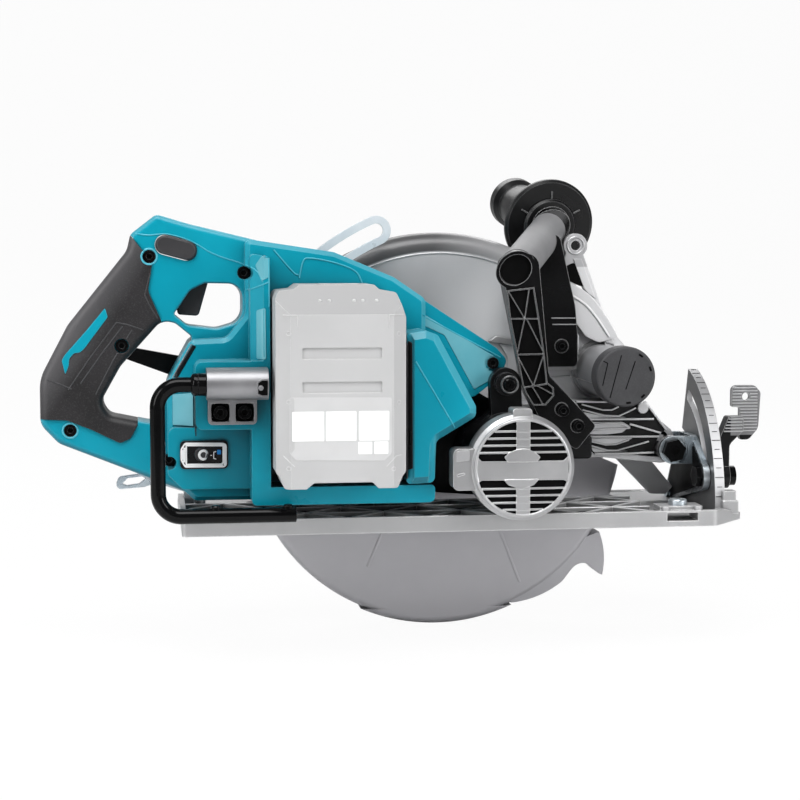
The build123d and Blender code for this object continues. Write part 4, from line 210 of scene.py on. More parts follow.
finishLooks = {
    "tealShell": dict(
        low=(0.0, 0.235, 0.325), high=(0.0005, 0.27, 0.365), deep=(0.0, 0.02, 0.03),
        # painted light and shade: lighter on faces turned up and sideways, darker on faces turned down
        lightByFacing=[dict(axis="Z", start=0.15, end=0.8, share=0.5, colour=(0.12, 0.30, 0.35)),
               dict(axis="Z", start=-0.15, end=-0.7, share=0.7, colour=(0.0, 0.07, 0.10)),
               dict(axis="X", start=0.25, end=0.7, share=0.4, colour=(0.12, 0.42, 0.50)),
               dict(axis="X", start=-0.25, end=-0.7, share=0.12, colour=(0.10, 0.36, 0.44))],
        edge=(0.10, 0.46, 0.56), edgeShare=0.7, edgeRadius=0.0008,
        cloud=12, grain=1500, bump=0.14, rough=(0.26, 0.36), spec=0.28, seam=0.022, cornerShade=0.95),
    # lighter copy of the teal: painted highlight on ridges, creases and screw rings
    "tealHighlight": dict(
        low=(0.04, 0.34, 0.44), high=(0.06, 0.38, 0.48), deep=(0.0, 0.12, 0.16),
        edge=(0.16, 0.50, 0.58), edgeShare=0.5, edgeRadius=0.0003,
        cloud=30, grain=1500, bump=0.08, rough=(0.26, 0.34), spec=0.5, seam=0.004, cornerShade=0.3),
    # lighter copy of the teal: painted light on facets
    "tealLit": dict(
        low=(0.10, 0.36, 0.43), high=(0.14, 0.41, 0.48), deep=(0.02, 0.16, 0.2),
        edge=(0.35, 0.62, 0.68), edgeShare=0.5, edgeRadius=0.0005,
        cloud=24, grain=1500, bump=0.10, rough=(0.28, 0.36), spec=0.5, seam=0.008, cornerShade=0.5),
    "gripRubber": dict(
        low=(0.010, 0.0095, 0.010), high=(0.018, 0.0165, 0.018), deep=(0.002, 0.002, 0.002),
        speck=(0.10, 0.095, 0.10), speckShare=0.24,
        # painted sheen: lighter towards the upper-left edge of the grip
        fades=[dict(direction=(-0.836, 0, 0.548), start=0.280, end=0.302, share=0.95,
                    colour=(0.085, 0.083, 0.087))],
        edge=(0.08, 0.075, 0.08), edgeShare=0.5, edgeRadius=0.0009,
        cloud=26, grain=1300, bump=0.6, rough=(0.42, 0.55), spec=0.35, seam=0.014, cornerShade=0.6),
    "capRubber": dict(
        low=(0.030, 0.030, 0.032), high=(0.042, 0.042, 0.045), deep=(0.006, 0.006, 0.006),
        speck=(0.09, 0.09, 0.095), speckShare=0.25,
        edge=(0.13, 0.13, 0.135), edgeShare=0.5, edgeRadius=0.0006,
        cloud=30, grain=1500, bump=0.35, rough=(0.45, 0.55), spec=0.35, seam=0.010, cornerShade=0.6),
    "blackNylon": dict(
        low=(0.004, 0.004, 0.0045), high=(0.007, 0.007, 0.0075), deep=(0.001, 0.001, 0.001),
        edge=(0.12, 0.12, 0.125), edgeShare=0.7, edgeRadius=0.0006,
        cloud=24, grain=1300, bump=0.22, rough=(0.24, 0.34), spec=0.22, seam=0.014, cornerShade=0.85),
    "handleNylon": dict(
        low=(0.003, 0.003, 0.0032), high=(0.005, 0.005, 0.0053), deep=(0.0006, 0.0006, 0.0006),
        # painted sheen: lighter on faces turned up, as under light from above
        lightByFacing=[dict(axis="Z", start=0.12, end=0.6, share=0.8, colour=(0.07, 0.07, 0.072))],
        edge=(0.42, 0.42, 0.425), edgeShare=0.9, edgeRadius=0.0008,
        cloud=16, grain=1200, bump=0.2, rough=(0.18, 0.28), spec=0.2, seam=0.020, cornerShade=1.0),
    "greyNylon": dict(
        low=(0.026, 0.025, 0.027), high=(0.036, 0.035, 0.037), deep=(0.008, 0.008, 0.008),
        edge=(0.16, 0.155, 0.16), edgeShare=0.5, edgeRadius=0.0008,
        cloud=26, grain=1300, bump=0.2, rough=(0.38, 0.5), spec=0.35, seam=0.008, cornerShade=0.6),
    "paleCase": dict(
        low=(0.435, 0.435, 0.437), high=(0.46, 0.46, 0.462), deep=(0.30, 0.30, 0.305),
        # painted shade: darker on faces turned up, against the light from above
        lightByFacing=[dict(axis="Z", start=0.05, end=0.6, share=0.75, colour=(0.27, 0.27, 0.272))],
        edge=(0.80, 0.80, 0.80), edgeShare=0.7, edgeRadius=0.0007,
        cloud=16, grain=1200, bump=0.12, rough=(0.50, 0.60), spec=0.2, seam=0.009, cornerShade=0.5),
    "paleLabel": dict(
        low=(0.51, 0.51, 0.512), high=(0.54, 0.54, 0.542), deep=(0.4, 0.4, 0.4),
        edge=(0.68, 0.68, 0.68), edgeShare=0.5, edgeRadius=0.0002,
        cloud=40, grain=2200, bump=0.04, rough=(0.34, 0.4), spec=0.35, seam=0.003, cornerShade=0.2),
    "whiteInk": dict(
        low=(0.80, 0.80, 0.80), high=(0.86, 0.86, 0.86), deep=(0.6, 0.6, 0.6),
        edge=(0.88, 0.88, 0.88), edgeShare=0.2, edgeRadius=0.0002,
        cloud=60, grain=2400, bump=0.03, rough=(0.4, 0.46), spec=0.3, seam=0.002, cornerShade=0.1),
    "blueLamp": dict(
        low=(0.01, 0.22, 0.62), high=(0.03, 0.30, 0.75), deep=(0.0, 0.08, 0.25),
        edge=(0.2, 0.5, 0.9), edgeShare=0.3, edgeRadius=0.0002,
        cloud=90, grain=2400, bump=0.02, rough=(0.15, 0.2), spec=0.6, seam=0.002, cornerShade=0.1),
    "castAlloy": dict(
        low=(0.46, 0.46, 0.47), high=(0.56, 0.56, 0.57), deep=(0.03, 0.03, 0.032),
        edge=(0.85, 0.85, 0.85), edgeShare=0.65, edgeRadius=0.0006, metal=0.75,
        cloud=18, grain=1000, bump=0.3, rough=(0.30, 0.44), seam=0.014, cornerShade=0.8),
    "armCasting": dict(
        low=(0.50, 0.50, 0.51), high=(0.62, 0.62, 0.63), deep=(0.006, 0.006, 0.006),
        edge=(0.92, 0.92, 0.92), edgeShare=0.8, edgeRadius=0.0007, metal=0.6,
        cloud=24, grain=1000, bump=0.28, rough=(0.28, 0.40), seam=0.012, cornerShade=0.8),
    "guardShell": dict(
        low=(0.43, 0.43, 0.44), high=(0.49, 0.49, 0.50), deep=(0.04, 0.04, 0.042),
        # painted light: brighter towards the right and lower down
        fades=[dict(direction=(1, 0, -0.25), start=-0.06, end=0.06, share=0.9, colour=(0.72, 0.72, 0.73))],
        painted=[dict(box=dict(X=(0.088, 0.136), Y=(-0.05, 0.017), Z=(0.078, 0.126)),
                      colour=(0.30, 0.30, 0.31)),
                 dict(box=dict(X=(0.078, 0.106), Y=(0.010, 0.030), Z=(0.178, 0.207)),
                      colour=(0.42, 0.42, 0.43))],
        edge=(0.85, 0.85, 0.85), edgeShare=0.6, edgeRadius=0.0009, metal=0.2,
        # painted dark reflection in a band along the rim
        band=dict(arbor=(-0.008, 0.0, 0.0565), start=0.1325, full=0.1335, fadeX=(0.045, 0.085),
                  share=0.9, colour=(0.035, 0.034, 0.035)),
        cloud=9, grain=900, bump=0.22, rough=(0.30, 0.42), seam=0.016, cornerShade=0.75),
    "baseAlloy": dict(
        low=(0.38, 0.38, 0.385), high=(0.44, 0.44, 0.445), deep=(0.02, 0.02, 0.02),
        edge=(0.95, 0.95, 0.95), edgeShare=0.9, edgeRadius=0.0012, metal=0.6,
        # painted shade: dark pockets between the ribs; painted highlight: bright tops of the ribs
        painted=[dict(box=dict(X=(-0.194, 0.131), Y=(-0.0747, 0.0075), Z=(0.0036, 0.0076)),
                      colour=(0.022, 0.022, 0.023)),
                 dict(box=dict(X=(-0.194, 0.131), Y=(-0.0747, 0.0075), Z=(0.0100, 0.0109)),
                      colour=(0.95, 0.95, 0.96))],
        cloud=18, grain=900, bump=0.3, rough=(0.34, 0.48), seam=0.010, cornerShade=0.6),
    "guardSheet": dict(
        low=(0.41, 0.405, 0.425), high=(0.46, 0.455, 0.475), deep=(0.10, 0.10, 0.105),
        edge=(0.65, 0.65, 0.67), edgeShare=0.5, edgeRadius=0.0006, metal=0.55,
        cloud=11, grain=700, bump=0.14, rough=(0.40, 0.50), seam=0.010, cornerShade=0.5),
    "zincSteel": dict(
        low=(0.46, 0.55, 0.62), high=(0.64, 0.69, 0.72), deep=(0.06, 0.075, 0.09),
        edge=(0.9, 0.92, 0.93), edgeShare=0.6, edgeRadius=0.0006, metal=0.95,
        cloud=40, grain=500, stretch=(1, 1, 6), bump=0.1, rough=(0.20, 0.34), seam=0.010, cornerShade=0.75),
    "zincPale": dict(
        low=(0.56, 0.61, 0.65), high=(0.66, 0.70, 0.73), deep=(0.14, 0.16, 0.18),
        edge=(0.9, 0.92, 0.93), edgeShare=0.5, edgeRadius=0.0004, metal=0.2,
        cloud=40, grain=500, stretch=(1, 1, 6), bump=0.1, rough=(0.26, 0.38), seam=0.008, cornerShade=0.5),
    "zincShade": dict(
        low=(0.46, 0.55, 0.62), high=(0.64, 0.69, 0.72), deep=(0.03, 0.035, 0.04),
        # painted shade on faces turned to -X
        lightByFacing=[dict(axis="X", start=-0.5, end=-0.9, share=0.95, colour=(0.05, 0.055, 0.06))],
        edge=(0.9, 0.92, 0.93), edgeShare=0.6, edgeRadius=0.0006, metal=0.8,
        cloud=40, grain=500, stretch=(1, 1, 6), bump=0.1, rough=(0.20, 0.34), seam=0.012, cornerShade=0.85),
    # grey standing for the reflection on the glossy black tube: painted reflection
    "tubeReflection": dict(
        low=(0.165, 0.165, 0.17), high=(0.215, 0.215, 0.22), deep=(0.01, 0.01, 0.01),
        edge=(0.3, 0.3, 0.3), edgeShare=0.4, edgeRadius=0.0005,
        cloud=30, grain=1200, bump=0.15, rough=(0.45, 0.55), spec=0.3, seam=0.010, cornerShade=0.8),
    "satinSteel": dict(
        low=(0.23, 0.23, 0.24), high=(0.30, 0.30, 0.31), deep=(0.02, 0.02, 0.022),
        edge=(0.75, 0.75, 0.76), edgeShare=0.7, edgeRadius=0.0005, metal=0.8,
        cloud=40, grain=900, bump=0.12, rough=(0.40, 0.50), seam=0.006, cornerShade=0.7),
    "leverSteel": dict(
        low=(0.20, 0.20, 0.205), high=(0.27, 0.27, 0.275), deep=(0.02, 0.02, 0.02),
        painted=[dict(box=dict(Z=(-1, 0.0585)), colour=(0.006, 0.006, 0.0065)),
                 dict(box=dict(X=(-1, 0.1925), Z=(-1, 0.0745)), colour=(0.006, 0.006, 0.0065))],
        edge=(0.75, 0.75, 0.75), edgeShare=0.7, edgeRadius=0.0007, metal=0.6,
        cloud=40, grain=900, bump=0.12, rough=(0.28, 0.40), seam=0.006, cornerShade=0.5),
    "bladeSteel": dict(
        low=(0.44, 0.44, 0.44), high=(0.56, 0.56, 0.56), deep=(0.12, 0.12, 0.12),
        edge=(0.8, 0.8, 0.8), edgeShare=0.5, edgeRadius=0.0004, metal=0.95,
        cloud=30, grain=1400, bump=0.08, rough=(0.24, 0.36), seam=0.006, cornerShade=0.5),
    "blackSteel": dict(
        low=(0.002, 0.002, 0.0022), high=(0.0035, 0.0035, 0.0037), deep=(0.0006, 0.0006, 0.0006),
        edge=(0.12, 0.12, 0.125), edgeShare=0.6, edgeRadius=0.0004,
        cloud=30, grain=600, bump=0.05, rough=(0.10, 0.16), spec=0.13, seam=0.006, cornerShade=0.7),
    "darkInk": dict(
        low=(0.0012, 0.0012, 0.0013), high=(0.0022, 0.0022, 0.0023), deep=(0.0005, 0.0005, 0.0005),
        edge=(0.02, 0.02, 0.02), edgeShare=0.3, edgeRadius=0.0002,
        cloud=50, grain=1500, bump=0.05, rough=(0.5, 0.6), spec=0.05, seam=0.003, cornerShade=0.4),
    "gripBlack": dict(
        low=(0.004, 0.004, 0.0043), high=(0.007, 0.007, 0.0073), deep=(0.0008, 0.0008, 0.0008),
        edge=(0.16, 0.16, 0.165), edgeShare=0.8, edgeRadius=0.0010,
        cloud=20, grain=1400, bump=0.25, rough=(0.26, 0.36), spec=0.22, seam=0.012, cornerShade=0.8),
    "quadrantAlloy": dict(
        low=(0.62, 0.62, 0.63), high=(0.70, 0.70, 0.71), deep=(0.03, 0.03, 0.03),
        # darker towards the top; painted shade on faces turned to -X
        fades=[dict(direction=(0, 0, 1), start=0.045, end=0.095, share=0.8, colour=(0.15, 0.15, 0.155))],
        lightByFacing=[dict(axis="X", start=-0.5, end=-0.9, share=0.95, colour=(0.04, 0.041, 0.043))],
        edge=(0.85, 0.85, 0.85), edgeShare=0.6, edgeRadius=0.0006, metal=0.3,
        cloud=24, grain=1000, bump=0.25, rough=(0.32, 0.44), seam=0.010, cornerShade=0.7),
    # lighter copy of the black nylon: painted highlight on ribs, spokes and the ear ring
    "ribNylon": dict(
        low=(0.045, 0.045, 0.046), high=(0.065, 0.065, 0.066), deep=(0.004, 0.004, 0.004),
        edge=(0.42, 0.42, 0.425), edgeShare=0.9, edgeRadius=0.0004,
        cloud=30, grain=1300, bump=0.15, rough=(0.20, 0.28), spec=0.5, seam=0.003, cornerShade=0.6),
    # near black; on the floor sheet of the gear arm it is painted shade in the pockets
    "gearFloor": dict(
        low=(0.005, 0.005, 0.0052), high=(0.014, 0.014, 0.0145), deep=(0.001, 0.001, 0.001),
        edge=(0.2, 0.2, 0.2), edgeShare=0.3, edgeRadius=0.0004, metal=0.2, spec=0.2,
        cloud=55, grain=1000, bump=0.3, rough=(0.40, 0.55), seam=0.006, cornerShade=1.0),
    "endAlloy": dict(
        low=(0.36, 0.36, 0.367), high=(0.45, 0.45, 0.457), deep=(0.02, 0.02, 0.02),
        edge=(0.95, 0.95, 0.95), edgeShare=0.8, edgeRadius=0.0007, metal=0.7,
        cloud=18, grain=1000, bump=0.3, rough=(0.28, 0.40), seam=0.012, cornerShade=0.8),
    # pale colour for beads on black parts: painted highlight lines
    "litEdge": dict(
        low=(0.24, 0.24, 0.245), high=(0.30, 0.30, 0.305), deep=(0.05, 0.05, 0.05),
        edge=(0.5, 0.5, 0.5), edgeShare=0.5, edgeRadius=0.0003,
        cloud=40, grain=1500, bump=0.05, rough=(0.25, 0.32), spec=0.5, seam=0.003, cornerShade=0.3),
    "coilCopper": dict(
        low=(0.50, 0.22, 0.10), high=(0.62, 0.30, 0.14), deep=(0.06, 0.03, 0.02),
        edge=(0.8, 0.45, 0.25), edgeShare=0.4, edgeRadius=0.0004, metal=0.9,
        cloud=60, grain=500, stretch=(1, 8, 1), bump=0.4, rough=(0.3, 0.45), seam=0.006, cornerShade=0.6),
}
finishes = {name: surfaceFinish(name, look) for name, look in finishLooks.items()}

nodeFinish = {
    "tealShell": ["housing_right", "housing_left"],
    "gripRubber": ["grip_cover"],
    "gripBlack": ["front_grip"],
    "capRubber": ["dust_cap"],
    "blackNylon": ["control_panel", "battery_mount", "terminal_block", "motor_housing", "shaft_lock",
                   "depth_lever", "guard_lever", "controller", "trigger_switch", "motor_fan"],
    "handleNylon": ["front_handle"],
    "greyNylon": ["trigger", "lock_off_button", "panel_button"],
    "paleCase": ["battery_case", "battery_release_button"],
    "gearFloor": ["gear_cover"],
    "endAlloy": ["motor_end_cover"],
    "quadrantAlloy": ["bevel_quadrant"],
    "armCasting": ["gear_housing"],
    "guardShell": ["upper_guard"],
    "baseAlloy": ["base_plate"],
    "guardSheet": ["lower_guard"],
    "zincPale": ["depth_guide"],
    "zincShade": ["front_bracket"],
    "zincSteel": ["rear_bracket", "bevel_pin_front", "bevel_pin_rear", "guide_pin", "depth_bolt",
                  "fence_clamp_screw"],
    "satinSteel": ["hook_clamp"],
    "leverSteel": ["bevel_lever"],
    "blackSteel": ["housing_screws", "hook_clamp_screws", "arm_screw_pair", "leg_screw", "hook_rod",
                   "bevel_clamp_bolt", "pivot_bolt"],
    "bladeSteel": ["blade", "inner_flange", "outer_flange", "blade_bolt", "spindle", "spindle_gear",
                   "spindle_bearing_front", "spindle_bearing_rear", "motor_bearing_front",
                   "motor_bearing_rear", "rotor", "pinion", "trigger_pin"],
    "coilCopper": ["stator"],
}
for finish, names in nodeFinish.items():
    for name in names:
        mesh = nodes[name].data
        mesh.materials.clear()
        mesh.materials.append(finishes[finish])
print("finishes given to", sum(len(names) for names in nodeFinish.values()), "nodes")


# shape helpers

surfaces = {}
sharpAngle = radians(38)
sharpestMitre = 0.6                          # keeps a rib from growing long at a sharp bend
castY, edgeY = -0.4, -0.06                   # where probes start, in metres, on the near side


def surfaceOf(name):
    if name not in surfaces:
        mesh = nodes[name].data
        surfaces[name] = BVHTree.FromPolygons([v.co.copy() for v in mesh.vertices],
                                              [tuple(p.vertices) for p in mesh.polygons])
    return surfaces[name]


def landing(carriers, x, z):                 # nearest spot of the carriers seen from the near side
    best = None
    for name in carriers:
        spot, normal, _, away = surfaceOf(name).ray_cast(Vector((x * mm, castY, z * mm)), Vector((0, 1, 0)))
        if spot is not None and (best is None or away < best[2]):
            best = (spot, normal if normal.y < 0 else -normal, away)
    return best[:2] if best else None


def edgeLanding(name, x, z):                 # a spot off the outline falls to the nearest edge
    spot, normal, _, _ = surfaceOf(name).find_nearest(Vector((x * mm, edgeY, z * mm)))
    return spot, normal


def roundedCorners(corners, radius, steps=4):
    outline = []
    count = len(corners)
    for i in range(count):
        here, before, after = (Vector(corners[j % count]) for j in (i, i - 1, i + 1))
        start = here + (before - here).normalized() * min(radius, (before - here).length * 0.45)
        end = here + (after - here).normalized() * min(radius, (after - here).length * 0.45)
        for k in range(steps + 1):
            t = k / steps
            outline.append(start * (1 - t) ** 2 + here * 2 * t * (1 - t) + end * t * t)
    return outline


def smoothPath(corners, step):
    path = [Vector(c) for c in corners]
    for _ in range(2):                       # corner cutting keeps the two ends
        cut = [path[0]]
        for a, b in zip(path, path[1:]):
            cut += [a.lerp(b, 0.25), a.lerp(b, 0.75)]
        path = cut + [path[-1]]
    return evenPath(path, step)


def evenPath(path, step):
    path = [Vector(p) for p in path]
    even = [path[0]]
    for a, b in zip(path, path[1:]):
        parts = max(1, round((b - a).length / step))
        even += [a.lerp(b, k / parts) for k in range(1, parts + 1)]
    return even


def ringPath(centre, radius, start=0, end=360, parts=48):
    return [Vector((centre[0] + radius * cos(radians(start + (end - start) * k / parts)),
                    centre[1] + radius * sin(radians(start + (end - start) * k / parts))))
            for k in range(parts + 1)]


def addStrip(bm, rings, closed):             # skin between rings of the same size
    loops = [[bm.verts.new(p) for p in ring] for ring in rings]
    pairs = list(zip(loops, loops[1:]))
    if closed:
        pairs.append((loops[-1], loops[0]))
    for a, b in pairs:
        for k in range(len(a)):
            n = (k + 1) % len(a)
            bm.faces.new((a[k], a[n], b[n], b[k]))
    if not closed:
        bm.faces.new(loops[0])
        bm.faces.new(list(reversed(loops[-1])))


# profiles: share of the half width, and share of the height, None for the buried feet
beadRound = [(-1, None), (-1, 0.25), (-0.6, 0.82), (0, 1), (0.6, 0.82), (1, 0.25), (1, None)]
ribRound = [(-1, None), (-1, 0.8), (-0.7, 1), (0.7, 1), (1, 0.8), (1, None)]


def addBead(bm, path, carriers, width, height, closed=False, sink=0.5):
    spots = [landing(carriers, p[0], p[1]) for p in path]
    kept = [s for s in spots if s]
    if closed and len(kept) == len(spots):
        kept = kept[:-1]                     # the last spot repeats the first
    rings = []
    for i, (spot, normal) in enumerate(kept):
        before = kept[i - 1][0] if i or closed else spot
        after = kept[(i + 1) % len(kept)][0] if i + 1 < len(kept) or closed else spot
        along = (after - before).normalized()
        side = normal.cross(along).normalized() * (width / 2 * mm)
        up = normal * mm
        levels = [-sink if high is None else height * high for _, high in beadRound]
        rings.append([spot + side * across + up * level for (across, _), level in zip(beadRound, levels)])
    addStrip(bm, rings, closed)


def beadRows(bm, paths, carriers, width, height, step, lay=evenPath):
    for path in paths:
        addBead(bm, lay(path, step), carriers, width, height)


def addRing(bm, centre, radius, carriers, width, height, parts=48):
    addBead(bm, ringPath(centre, radius, parts=parts), carriers, width, height, closed=True)


def addPlate(bm, outline, carriers, height, sink=0.5, cell=2.5):
    flat = bmesh.new()                       # outline filled, cut small, then laid on the carrier
    edge = evenPath(list(outline) + [outline[0]], cell)[:-1]
    flat.faces.new([flat.verts.new((p[0], 0, p[1])) for p in edge])
    low = Vector((min(p[0] for p in edge), min(p[1] for p in edge)))
    high = Vector((max(p[0] for p in edge), max(p[1] for p in edge)))
    for axis in (0, 1):
        lines = int((high[axis] - low[axis]) / cell)
        for k in range(1, lines + 1):
            at = low[axis] + (high[axis] - low[axis]) * k / (lines + 1)
            spot = (at, 0, 0) if axis == 0 else (0, 0, at)
            bmesh.ops.bisect_plane(flat, geom=flat.verts[:] + flat.edges[:] + flat.faces[:], plane_co=spot,
                                   plane_no=(1, 0, 0) if axis == 0 else (0, 0, 1))
    flat.verts.index_update()
    tops, lows = [], []
    for v in flat.verts:
        spot, normal = landing(carriers, v.co.x, v.co.z) or edgeLanding(carriers[0], v.co.x, v.co.z)
        tops.append(bm.verts.new(spot + normal * height * mm))
        lows.append(bm.verts.new(spot - normal * sink * mm))
    for face in flat.faces:
        ids = [v.index for v in face.verts]
        bm.faces.new([tops[i] for i in ids])
        bm.faces.new([lows[i] for i in reversed(ids)])
    for e in flat.edges:
        if e.is_boundary:
            a, b = (v.index for v in e.verts)
            bm.faces.new((tops[a], tops[b], lows[b], lows[a]))
    flat.free()


def addLathe(bm, profile, origin, axis, parts=40):       # profile: (along, radius) in mm
    axis = Vector(axis).normalized()
    side = axis.orthogonal().normalized()
    other = axis.cross(side)
    rings = []
    for k in range(parts):
        turn = 2 * pi * k / parts
        out = side * cos(turn) + other * sin(turn)
        rings.append([(Vector(origin) + axis * a + out * r) * mm for a, r in profile])
    addStrip(bm, rings, True)
    bmesh.ops.remove_doubles(bm, verts=bm.verts[:], dist=1e-7)


def addPrism(bm, corners, ends):             # two matching outlines in mm, joined by walls
    near = [bm.verts.new(Vector(c) * mm) for c in corners]
    far = [bm.verts.new(Vector(c) * mm) for c in ends]
    bm.faces.new(near)
    bm.faces.new(list(reversed(far)))
    for k in range(len(near)):
        n = (k + 1) % len(near)
        bm.faces.new((near[n], near[k], far[k], far[n]))


def addSlab(bm, corners, offset):            # outline swept by an offset
    addPrism(bm, corners, [Vector(c) + Vector(offset) for c in corners])


def addFacet(bm, corners, back):             # sloped near face, back buried at one y
    addPrism(bm, corners, [(c[0], back, c[2]) for c in corners])


def addBar(bm, low, high, half, offset):     # straight bar, half its width to each side
    addSlab(bm, [low - half, high - half, high + half, low + half], offset)


def addRib(bm, path, face, rise, width, closed=False, sink=0.5):    # upright rib on a flat face
    path = [Vector(p) for p in path]
    count = len(path)
    rings = []
    for i, here in enumerate(path):
        before = path[i - 1] if i or closed else None
        after = path[(i + 1) % count] if i + 1 < count or closed else None
        steps = [(a, b) for a, b in ((before, here), (here, after)) if a is not None and b is not None]
        runs = [(b - a).normalized() for a, b in steps]
        along = sum(runs, Vector((0, 0))).normalized()
        side = Vector((-along.y, along.x)) * width / 2 / max(sharpestMitre, along.dot(runs[0]))
        profile = [(across, sink if high is None else -rise * high) for across, high in ribRound]
        rings.append([Vector((here.x + side.x * k, face + y, here.y + side.y * k)) * mm for k, y in profile])
    addStrip(bm, rings, closed)


def addSheet(bm, outline, face, thick):      # flat sheet in the x z plane, near side at face
    addSlab(bm, [(p[0], face, p[1]) for p in outline], (0, thick, 0))


def addPanel(bm, outline, corner, face, thick):      # flat sheet with rounded corners
    addSheet(bm, roundedCorners(outline, corner), face, thick)


def square(left, right, low, high):
    return [(left, low), (right, low), (right, high), (left, high)]


def ribRows(bm, paths, face, rise, width):
    for path in paths:
        addRib(bm, path, face, rise, width)


def finishPiece(bm, name, finish, body, soften=0.0):
    bmesh.ops.recalc_face_normals(bm, faces=bm.faces[:])
    mesh = bpy.data.meshes.new(name)
    bm.to_mesh(mesh)
    bm.free()
    piece = bpy.data.objects.new(name, mesh)
    scene.collection.objects.link(piece)
    mesh.materials.append(finishes[finish])
    mesh.shade_smooth()
    mesh.set_sharp_from_angle(angle=sharpAngle)
    if soften:
        soft = piece.modifiers.new("soft", "BEVEL")
        soft.width = soften * mm
        soft.segments = 2
        soft.limit_method = "ANGLE"
        soft.angle_limit = sharpAngle
    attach(piece, body)
    return piece


# In the dictionaries below a bead is (width, height) and, for rows, the step along its path, all in mm.

# rear handle: inlay and seams in the grip, rings round the screws, creases

gripParts = {
    "inlay": [(-246.8, 151.6), (-245, 145.5), (-261.1, 124), (-264.2, 121.6), (-267.5, 121.4),
              (-270.8, 117.9), (-271.4, 112.7), (-273.7, 107.1), (-276, 116.6), (-273.8, 120.3),
              (-259.1, 136.8)],
    "seams": [[(-239.3, 141.8), (-258, 117), (-271.9, 96.7)],
              [(-235.2, 139.2), (-250, 120), (-263.7, 100.8)],
              [(-229.1, 136.6), (-242, 116), (-253.6, 93.4)],
              [(-239.3, 141.8), (-231.6, 140.2), (-221.5, 136.6)],
              [(-286, 103.8), (-276.9, 100.4), (-269.8, 97.2)],
              [(-215.6, 177.8), (-220.2, 160.4), (-217.9, 154.6), (-211.8, 144.2)]],
    "inlayCorner": 1.0, "inlayRise": 0.5, "inlaySink": 0.7, "seamBead": (0.9, 0.35, 1.5),
    "rings": [((-217, 186), 5.2), ((-271, 69), 5.0)],
    "ringBead": (1.3, 0.5),
    "creases": [[(-226, 201.5), (-217.7, 200.2), (-209.5, 201.2), (-204.4, 201.2), (-194.2, 198.6),
                 (-185, 194.6), (-173.7, 187), (-147.5, 179.4), (-143.2, 169.6)],
                [(-152.5, 163.7), (-136.4, 170.6)]],
    "creaseBead": (0.9, 0.45, 1.2),
}
housing = ["housing_right"]
bm = bmesh.new()
inlay = roundedCorners(gripParts["inlay"], gripParts["inlayCorner"], steps=2)
addPlate(bm, inlay, ["grip_cover"], gripParts["inlayRise"], sink=gripParts["inlaySink"])
finishPiece(bm, "gripInlay", "tealShell", "saw", soften=0.25)
bm = bmesh.new()
beadRows(bm, gripParts["seams"], ["grip_cover"], *gripParts["seamBead"])
finishPiece(bm, "gripSeams", "capRubber", "saw")
# the rings and creases are in a lighter teal: painted highlights
bm = bmesh.new()
for centre, radius in gripParts["rings"]:
    addRing(bm, centre, radius, ["grip_cover", "housing_right"], *gripParts["ringBead"])
beadRows(bm, gripParts["creases"], housing, *gripParts["creaseBead"], lay=smoothPath)
finishPiece(bm, "handleCreases", "tealHighlight", "saw")
print("grip dressed")


# body: facets painted lighter as lit, saddle ridges and block crease in a lighter teal as painted highlights,
# dark strips as painted shade in the gaps

bodyParts = {
    "rearFacet": [(-202.5, -56.4, 93.5), (-189, -61.5, 94.5), (-189, -61.5, 72.5), (-202.5, -56.4, 73)],
    "facetBack": -54,
    "column": [[(-147.6, 180.2), (-143.6, 186.4), (-139.3, 187.2), (-139.2, 172.6), (-144, 170.2),
                (-145.7, 176.4)],
               [(-147, 150.6), (-141.5, 152.4), (-141.3, 118.4), (-147.1, 118.4)]],
    "noseFlank": [(-28.6, 146), (22.6, 115.4), (20.6, 101.4), (6.4, 93.6), (-14, 131.4), (-28.6, 138.2)],
    "ridges": [[(-133.9, 190.6), (-120.1, 174.3), (-117.2, 173.7)],
               [(-116.7, 171.6), (-114.4, 183.4), (-111.2, 185.6), (-92.3, 182.2), (-77.3, 176.4),
                (-73.9, 168)],
               [(-42.4, 116.6), (-15.8, 71.9)], [(-32.8, 146.8), (25.4, 115.6)],
               [(-139.2, 186), (-139.1, 171.6), (-139, 153)]],
    "facetCorner": 1.2, "facetRise": 0.3, "cell": 2.0, "ridgeBead": (1.0, 0.5, 1.2),
    "bossWallShade": [(-188.25, -58, 93), (-188.25, -83, 93.5), (-188.25, -83, 68), (-188.25, -70, 70),
               (-188.25, -58, 78)],
    "sideSheet": [(-48.25, -60, 140), (-48.25, -90.5, 128), (-48.25, -90.5, 38), (-48.25, -60, 38)],
    "sheetThick": 0.8, "stripRise": 0.15,
    "sideStrip": [(-48.6, 131), (-44.6, 129), (-44.2, 45), (-48.6, 43)],
    "rearStrip": [(-187.6, 126.4), (-200.6, 104.7)], "rearLine": [(-189.4, 127.2), (-202.4, 104.7)],
    "stripBead": (2.8, 0.5, 1.5), "lineBead": (0.8, 0.5, 1.5),
}
bm = bmesh.new()
# lighter teal facets: painted light
addFacet(bm, bodyParts["rearFacet"], bodyParts["facetBack"])
for facet in bodyParts["column"] + [bodyParts["noseFlank"]]:
    facet = roundedCorners(facet, bodyParts["facetCorner"], steps=3)
    addPlate(bm, facet, housing, bodyParts["facetRise"], cell=bodyParts["cell"])
finishPiece(bm, "bodyFacets", "tealLit", "saw", soften=0.5)
bm = bmesh.new()
beadRows(bm, bodyParts["ridges"], housing, *bodyParts["ridgeBead"], lay=smoothPath)
finishPiece(bm, "bodyRidges", "tealHighlight", "saw")
bm = bmesh.new()
# dark sheets on the walls of the boss and the block; the one on the boss wall is painted shade
for sheet in (bodyParts["bossWallShade"], bodyParts["sideSheet"]):
    addSlab(bm, sheet, (bodyParts["sheetThick"], 0, 0))
